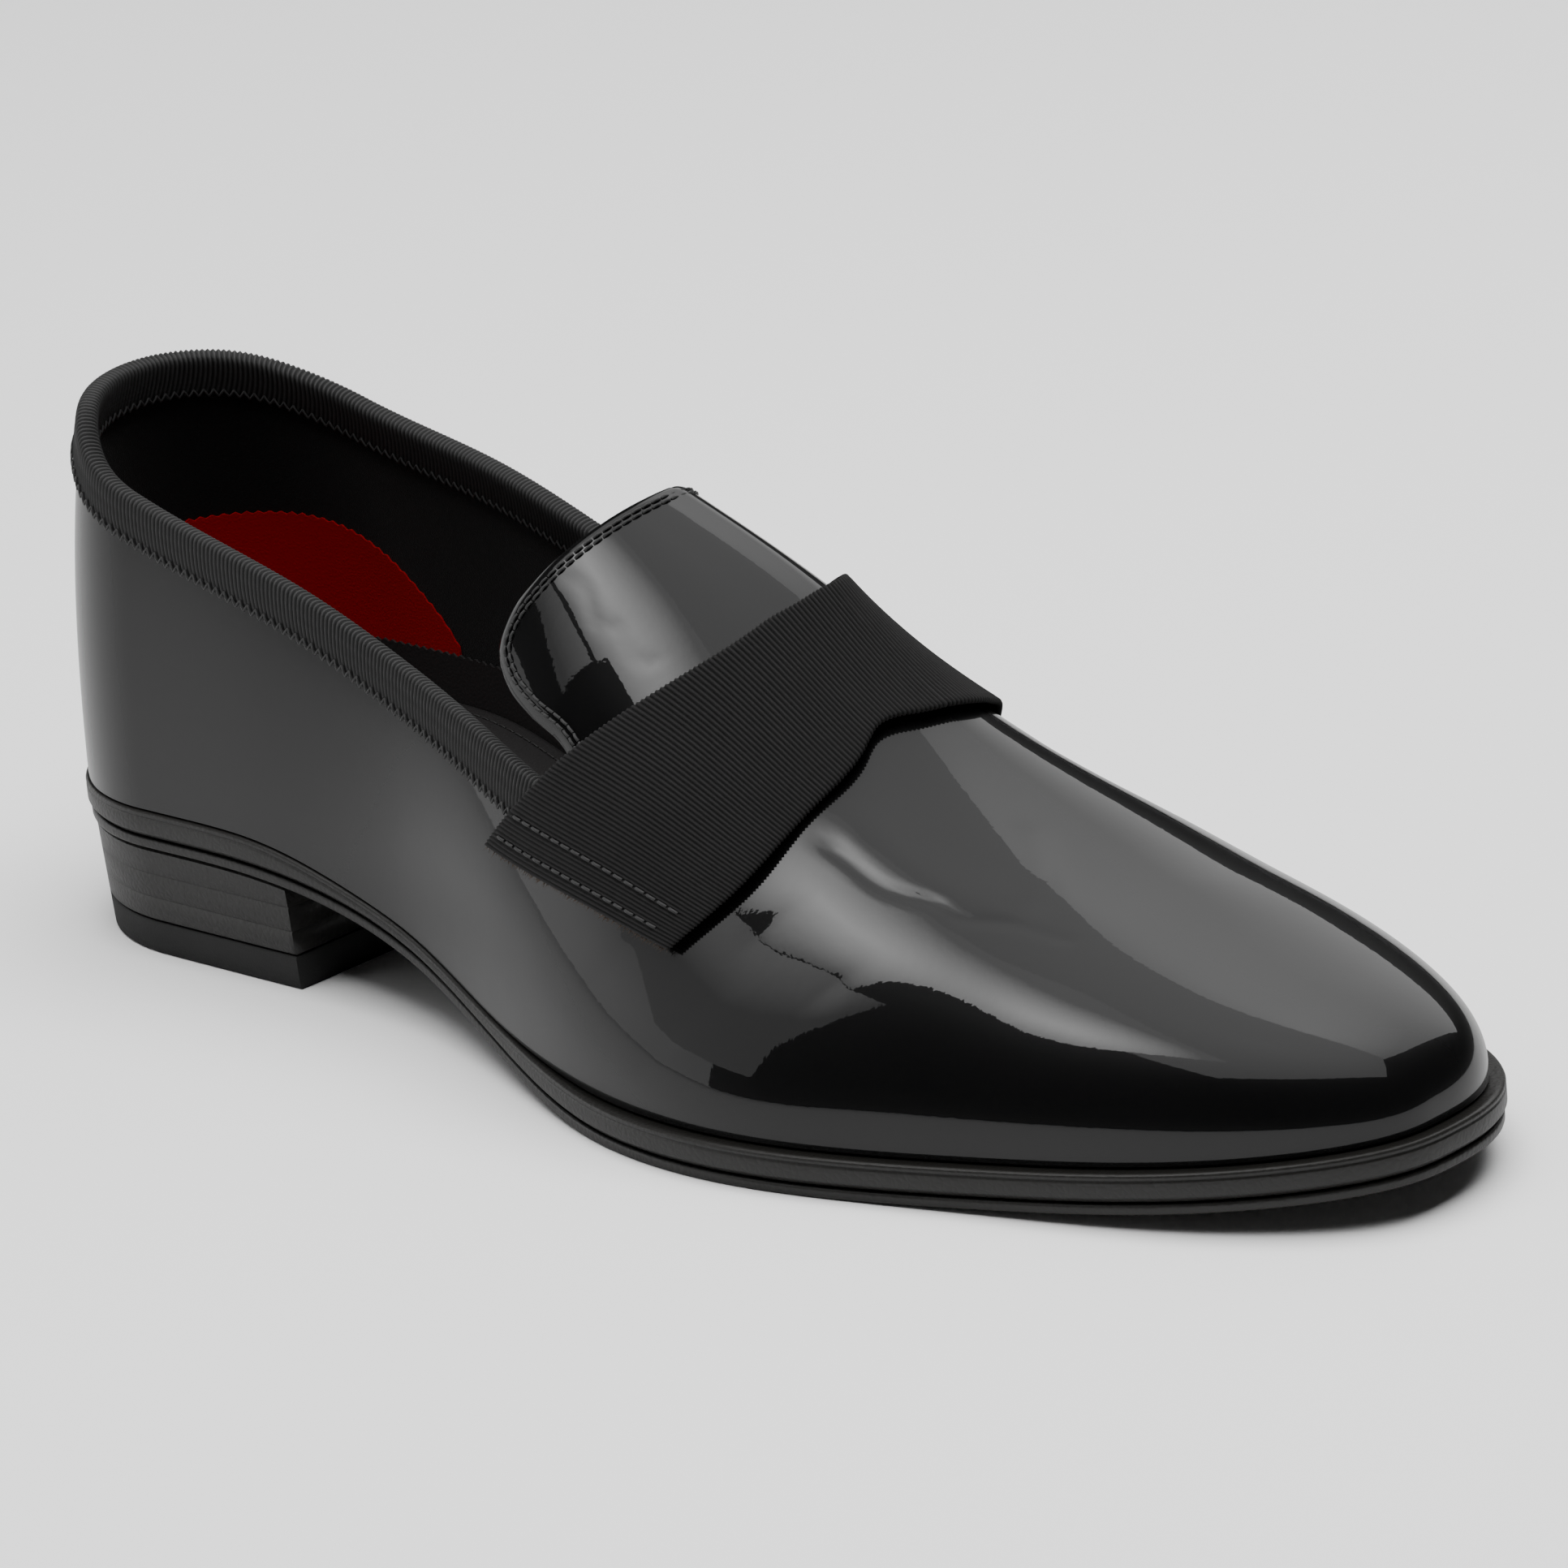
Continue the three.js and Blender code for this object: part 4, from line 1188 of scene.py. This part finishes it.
# %% Frayed threads
def fray_tree():
    tree, source, result = new_tree("frayed threads", [
        ("Length", "Float"), ("Thickness", "Float"), ("Spread", "Float"), ("Seed", "Int"),
        ("Material", "Material")])
    cone = add_node(tree, "GeometryNodeMeshCone", {
        "Vertices": 5, "Radius Top": 0.0, "Radius Bottom": source.outputs["Thickness"],
        "Depth": source.outputs["Length"]})
    noise = add_node(tree, "FunctionNodeRandomValue", {
        "Min": (-1, -1, -1), "Seed": source.outputs["Seed"]}, data_type="FLOAT_VECTOR")
    wild = scaled(tree, noise.outputs["Value"], source.outputs["Spread"])
    way = vector_node(tree, "ADD", attribute_node(tree, "out", "FLOAT_VECTOR"), wild)
    turn = add_node(tree, "FunctionNodeAlignRotationToVector", {"Vector": way}, axis="Z")
    size = add_node(tree, "FunctionNodeRandomValue", {
        2: 0.35, 3: 1.0, "Seed": source.outputs["Seed"]}, data_type="FLOAT")
    place = add_node(tree, "GeometryNodeInstanceOnPoints", {
        "Points": source.outputs["Geometry"], "Instance": cone.outputs["Mesh"],
        "Rotation": turn.outputs[0], "Scale": size.outputs[1]})
    return finish_tree(tree, place.outputs[0], source, result)


def frayed_end():
    """Points along both cut ends, with the way that each thread leaves the ribbon."""
    points, ways = [], []
    for v, sign in ((0.0, -1.0), (1.0, 1.0)):
        for height in (0.25, 0.55, 0.9):
            w = np.linspace(0.01, 0.99, 90) + height * 0.003
            end = bow_point(v, w, height)
            inside = bow_point(v - sign * 0.01, w, height)
            points.append(end)
            ways.append(unit(end - inside))
    return np.vstack(points), np.vstack(ways)


fray_points, fray_ways = frayed_end()
fringe = make_object("bow_fringe", fray_points, [])
store(fringe, "out", fray_ways, "FLOAT_VECTOR")
run_tree(fringe, fray_tree(), {"Length": 1.5 * MM, "Thickness": 0.10 * MM, "Spread": 0.55,
                               "Seed": 7, "Material": FRAY})
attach(fringe, "root")


# %% [markdown]
# Inside, the wall is black, the heel is lined in red leather, and a dark sock covers the insole
# and turns up on the wall. Both have a pinked edge, cut in small teeth.

# %% A thin band of lining on the inside of the wall
def pinked(along, pitch=1.9, tooth=0.6):
    """Height of the teeth of a pinked edge."""
    return tooth * np.abs((along / pitch) % 1 * 2 - 1)


def wall_band(name, u, low, high, offsets, rows, material):
    """A thin sheet on the inner wall from height low to height high, for every u."""
    near, far = offsets
    q = np.linspace(0, 1, rows)
    z = mix(low[:, None], high[:, None], q)
    k, r = at_height(u[:, None] + 0 * q, z)
    sheet = np.concatenate([skin(k, r, near), skin(k, r, far)[:, ::-1]], axis=1)
    return outward(make_object(name, sheet.reshape(-1, 3), loft(sheet), material, 60))


PINKED_STEP = 0.45
RED_FRONT = 50.0
red_height = spline([-5, 8, 20, 30, 37, 43, 47, 51], [62.5, 62, 60.5, 57, 53, 48, 44, 38.5])
red_end = float(step_of(RED_FRONT / LENGTH))
red_u, red_length = steps_between(-red_end, red_end, PINKED_STEP)
red_s = station(np.abs(red_u))
red_top = red_height(red_s * LENGTH) + pinked(red_length)
red = wall_band("red_heel_lining", red_u, foot_plane(red_s) + 6, red_top, (-2.08, -2.42), 18, RED)
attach(red, "root")

# %% The turned-up edge of the sock
SOCK_RISE = 11.5
SOCK_END = 0.60
sock_end = float(step_of(SOCK_END))
sock_u, sock_length = steps_between(-sock_end, sock_end, PINKED_STEP)
sock_s = station(np.abs(sock_u))
sock_top = foot_plane(sock_s) + SOCK_RISE + pinked(sock_length)
sock_low = feather(sock_s) + 2.4
turn_up = wall_band("sock_turn_up", sock_u, sock_low, sock_top, (-2.46, -2.86), 6, SOCK)
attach(turn_up, "root")

# %% The sock over the insole
def above_insole(lift):
    return lambda s: feather(s) + INSOLE + lift


sock = sole_layer("insole_sock", [
    (-0.9, above_insole(0.75)), (-0.25, above_insole(0.65)), (0.0, above_insole(0.4)),
    (0.0, above_insole(0.15)),
], level(-WALL - 1.1), SOCK)
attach(sock, "root")
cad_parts["insole"].data.materials.clear()
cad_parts["insole"].data.materials.append(LINING)


# %% Its row of stitches, just inside the wall
def sock_stitch_line(side):
    k = np.linspace(0, float(step_of(0.62)), 300)
    line = sole_edge(k, side + 0 * k, -WALL - 4.2 + 0 * k)
    line[:, 2] = feather(line[:, 0] / LENGTH) + INSOLE + 0.78
    return line, np.tile([0.0, 0.0, 1.0], (len(k), 1))


sew("sock_stitches", [stitch_ends(*sock_stitch_line(side), 2.2) for side in (-1, 1)],
    0.32, 0.12, THREAD)


# %% [markdown]
# The picture was taken with a long lens from the toe side, a little above the floor. The place
# and roll of the camera come from matching the outline of the last to it. The lens here is wide
# enough for the whole shoe, which changes only how much of the same view is in the frame.

# %% Camera
TURN, TILT, ROLL = math.radians(45.64), math.radians(18.97), math.radians(-5.31)
CAMERA_DISTANCE = 1276.7
LOOK_AT = np.array([172.0, -6.43, 56.69])
PHOTO_SIZE = 1932
FOCAL_PIXELS = 9900.0
FRAME_CENTRE = (912.0, 1051.0)
PHOTO_FOCAL_PIXELS = 14599.0


def camera_axes():
    back = np.array([math.sin(TURN) * math.cos(TILT), -math.cos(TURN) * math.cos(TILT),
                     math.sin(TILT)])
    right = np.array([math.cos(TURN), math.sin(TURN), 0.0])
    up = np.cross(back, right)
    right, up = (math.cos(ROLL) * right + math.sin(ROLL) * up,
                 -math.sin(ROLL) * right + math.cos(ROLL) * up)
    return right, up, back


right, up, back = camera_axes()
camera = bpy.data.objects.new("camera", bpy.data.cameras.new("camera"))
bpy.context.scene.collection.objects.link(camera)
place = (LOOK_AT + SHIFT + back * CAMERA_DISTANCE) * MM
matrix = np.eye(4)
matrix[:3, 0], matrix[:3, 1], matrix[:3, 2], matrix[:3, 3] = right, up, back, place
camera.matrix_world = Matrix(matrix.tolist())
camera.data.lens = camera.data.sensor_width * FOCAL_PIXELS / PHOTO_SIZE
widening = FOCAL_PIXELS / PHOTO_FOCAL_PIXELS / PHOTO_SIZE
camera.data.shift_x = (FRAME_CENTRE[0] - PHOTO_SIZE / 2) * widening
camera.data.shift_y = -(FRAME_CENTRE[1] - PHOTO_SIZE / 2) * widening
bpy.context.scene.camera = camera
print("lens, mm:", round(camera.data.lens, 1))


# %% [markdown]
# A lacquered shoe shows its surroundings. A bright key panel, a broad one overhead, two low ones on
# the outer side and one behind the shoe make the pale areas. The dark room between them makes
# the black ones, with a small card beside the instep that darkens the lower side of the tongue.

# %% Floor
# In a mirror as dark as lacquer the floor is shown at a lower tone than the eye sees it.
FLOOR_SEEN, FLOOR_MIRRORED = 0.95, 0.40
bpy.ops.mesh.primitive_plane_add(size=6)
floor = bpy.context.object
floor.name = "floor"
floor_paint, floor_tree, floor_shader = new_material("pale floor")
set_inputs(floor_shader, {"Roughness": 0.9, "Specular IOR Level": 0.0})
rays = add_node(floor_tree, "ShaderNodeLightPath")
floor_tone = add_node(floor_tree, "ShaderNodeMapRange", {
    "Value": rays.outputs["Is Glossy Ray"], "To Min": FLOOR_SEEN, "To Max": FLOOR_MIRRORED})
floor_tree.links.new(floor_tone.outputs[0], floor_shader.inputs["Base Color"])
floor.data.materials.append(floor_paint)


# %% Lights
SHOE_MIDDLE = 0.05


def direction(around, above):
    """The way from the shoe to an azimuth and an elevation in degrees."""
    around, above = math.radians(around), math.radians(above)
    return np.array([math.cos(above) * math.cos(around), math.cos(above) * math.sin(around),
                     math.sin(above)])


def soft_panel(name, towards, distance, size, strength, rim=0.0, centre_at=(0.0, 0.0)):
    """A glowing sheet seen from the shoe at towards (azimuth, elevation), in degrees.
    Its light falls from strength at centre_at, in half sizes, to rim at its border."""
    way = Vector(direction(*towards).tolist())
    bpy.ops.mesh.primitive_plane_add(size=1)
    sheet = bpy.context.object
    sheet.name = name
    sheet.scale = (*size, 1)
    sheet.location = way * distance + Vector((0.0, 0.0, SHOE_MIDDLE))
    sheet.rotation_euler = way.to_track_quat("Z", "Y").to_euler()
    sheet.visible_camera = False
    glow = bpy.data.materials.new(name)
    glow.use_nodes = True
    tree = glow.node_tree
    tree.nodes.clear()
    place = add_node(tree, "ShaderNodeTexCoord").outputs["Object"]
    shift = add_node(tree, "ShaderNodeMapping", {
        "Vector": place, "Location": (-centre_at[0], -centre_at[1], 0), "Scale": (2, 2, 1)})
    ball = add_node(tree, "ShaderNodeTexGradient", {"Vector": shift.outputs[0]},
                    gradient_type="SPHERICAL")
    spread = add_node(tree, "ShaderNodeMapRange", {
        "Value": ball.outputs["Fac"], "To Min": rim, "To Max": strength})
    light = add_node(tree, "ShaderNodeEmission", {"Strength": spread.outputs["Result"]})
    add_node(tree, "ShaderNodeOutputMaterial", {"Surface": light.outputs[0]})
    sheet.data.materials.append(glow)


soft_panel("key panel", (-131, 62), 1.3, (0.58, 0.66), 5.6, 1.2, (0.45, -0.1))
soft_panel("overhead panel", (150, 84), 1.6, (1.9, 1.7), 1.15, 0.9)
soft_panel("left wall", (-158, 10), 1.7, (2.9, 1.05), 1.25, 0.8, (-0.2, 0.0))
soft_panel("side card", (-117, 27), 0.9, (0.30, 0.62), 1.7, 0.55, (0.0, 1.0))
soft_panel("rear wall", (112, 42), 1.5, (1.3, 1.35), 1.9, 1.05, (0.0, 0.9))


# %% A small dark card beside the instep, which only the lacquer mirrors
# Its place is given from the side of the tongue, its corners in its own plane.
TONGUE_SIDE = skin(step_of(0.49), 0.56)
CARD_WAY, CARD_DISTANCE = direction(-123, 42), 120.0
CARD_CORNERS = [(4.0, 23.0), (36.0, 23.0), (36.0, -60.0), (-30.0, -60.0)]
card_x = unit(np.cross([0.0, 0.0, 1.0], CARD_WAY))
card_y = np.cross(CARD_WAY, card_x)
card_middle = TONGUE_SIDE + CARD_WAY * CARD_DISTANCE
dark_card = make_object(
    "dark_card", np.array([card_middle + card_x * x + card_y * y for x, y in CARD_CORNERS]),
    [(0, 1, 2, 3)], finish("dark card", (0.0, 0.0, 0.0), 1.0, specular=0.0), 0)
dark_card.visible_camera = dark_card.visible_diffuse = dark_card.visible_shadow = False

# %% Even light from above for the floor, and a dark room
fill = bpy.data.lights.new("floor fill", "AREA")
fill.size, fill.energy = 2.0, 80
fill_light = bpy.data.objects.new("floor fill", fill)
fill_light.location = (0.0, 0.0, 1.6)
fill_light.visible_camera = fill_light.visible_glossy = False
bpy.context.scene.collection.objects.link(fill_light)
world = bpy.data.worlds.new("dark room")
world.use_nodes = True
world.node_tree.nodes["Background"].inputs["Color"].default_value = (1, 1, 1, 1)
world.node_tree.nodes["Background"].inputs["Strength"].default_value = 0.02
bpy.context.scene.world = world
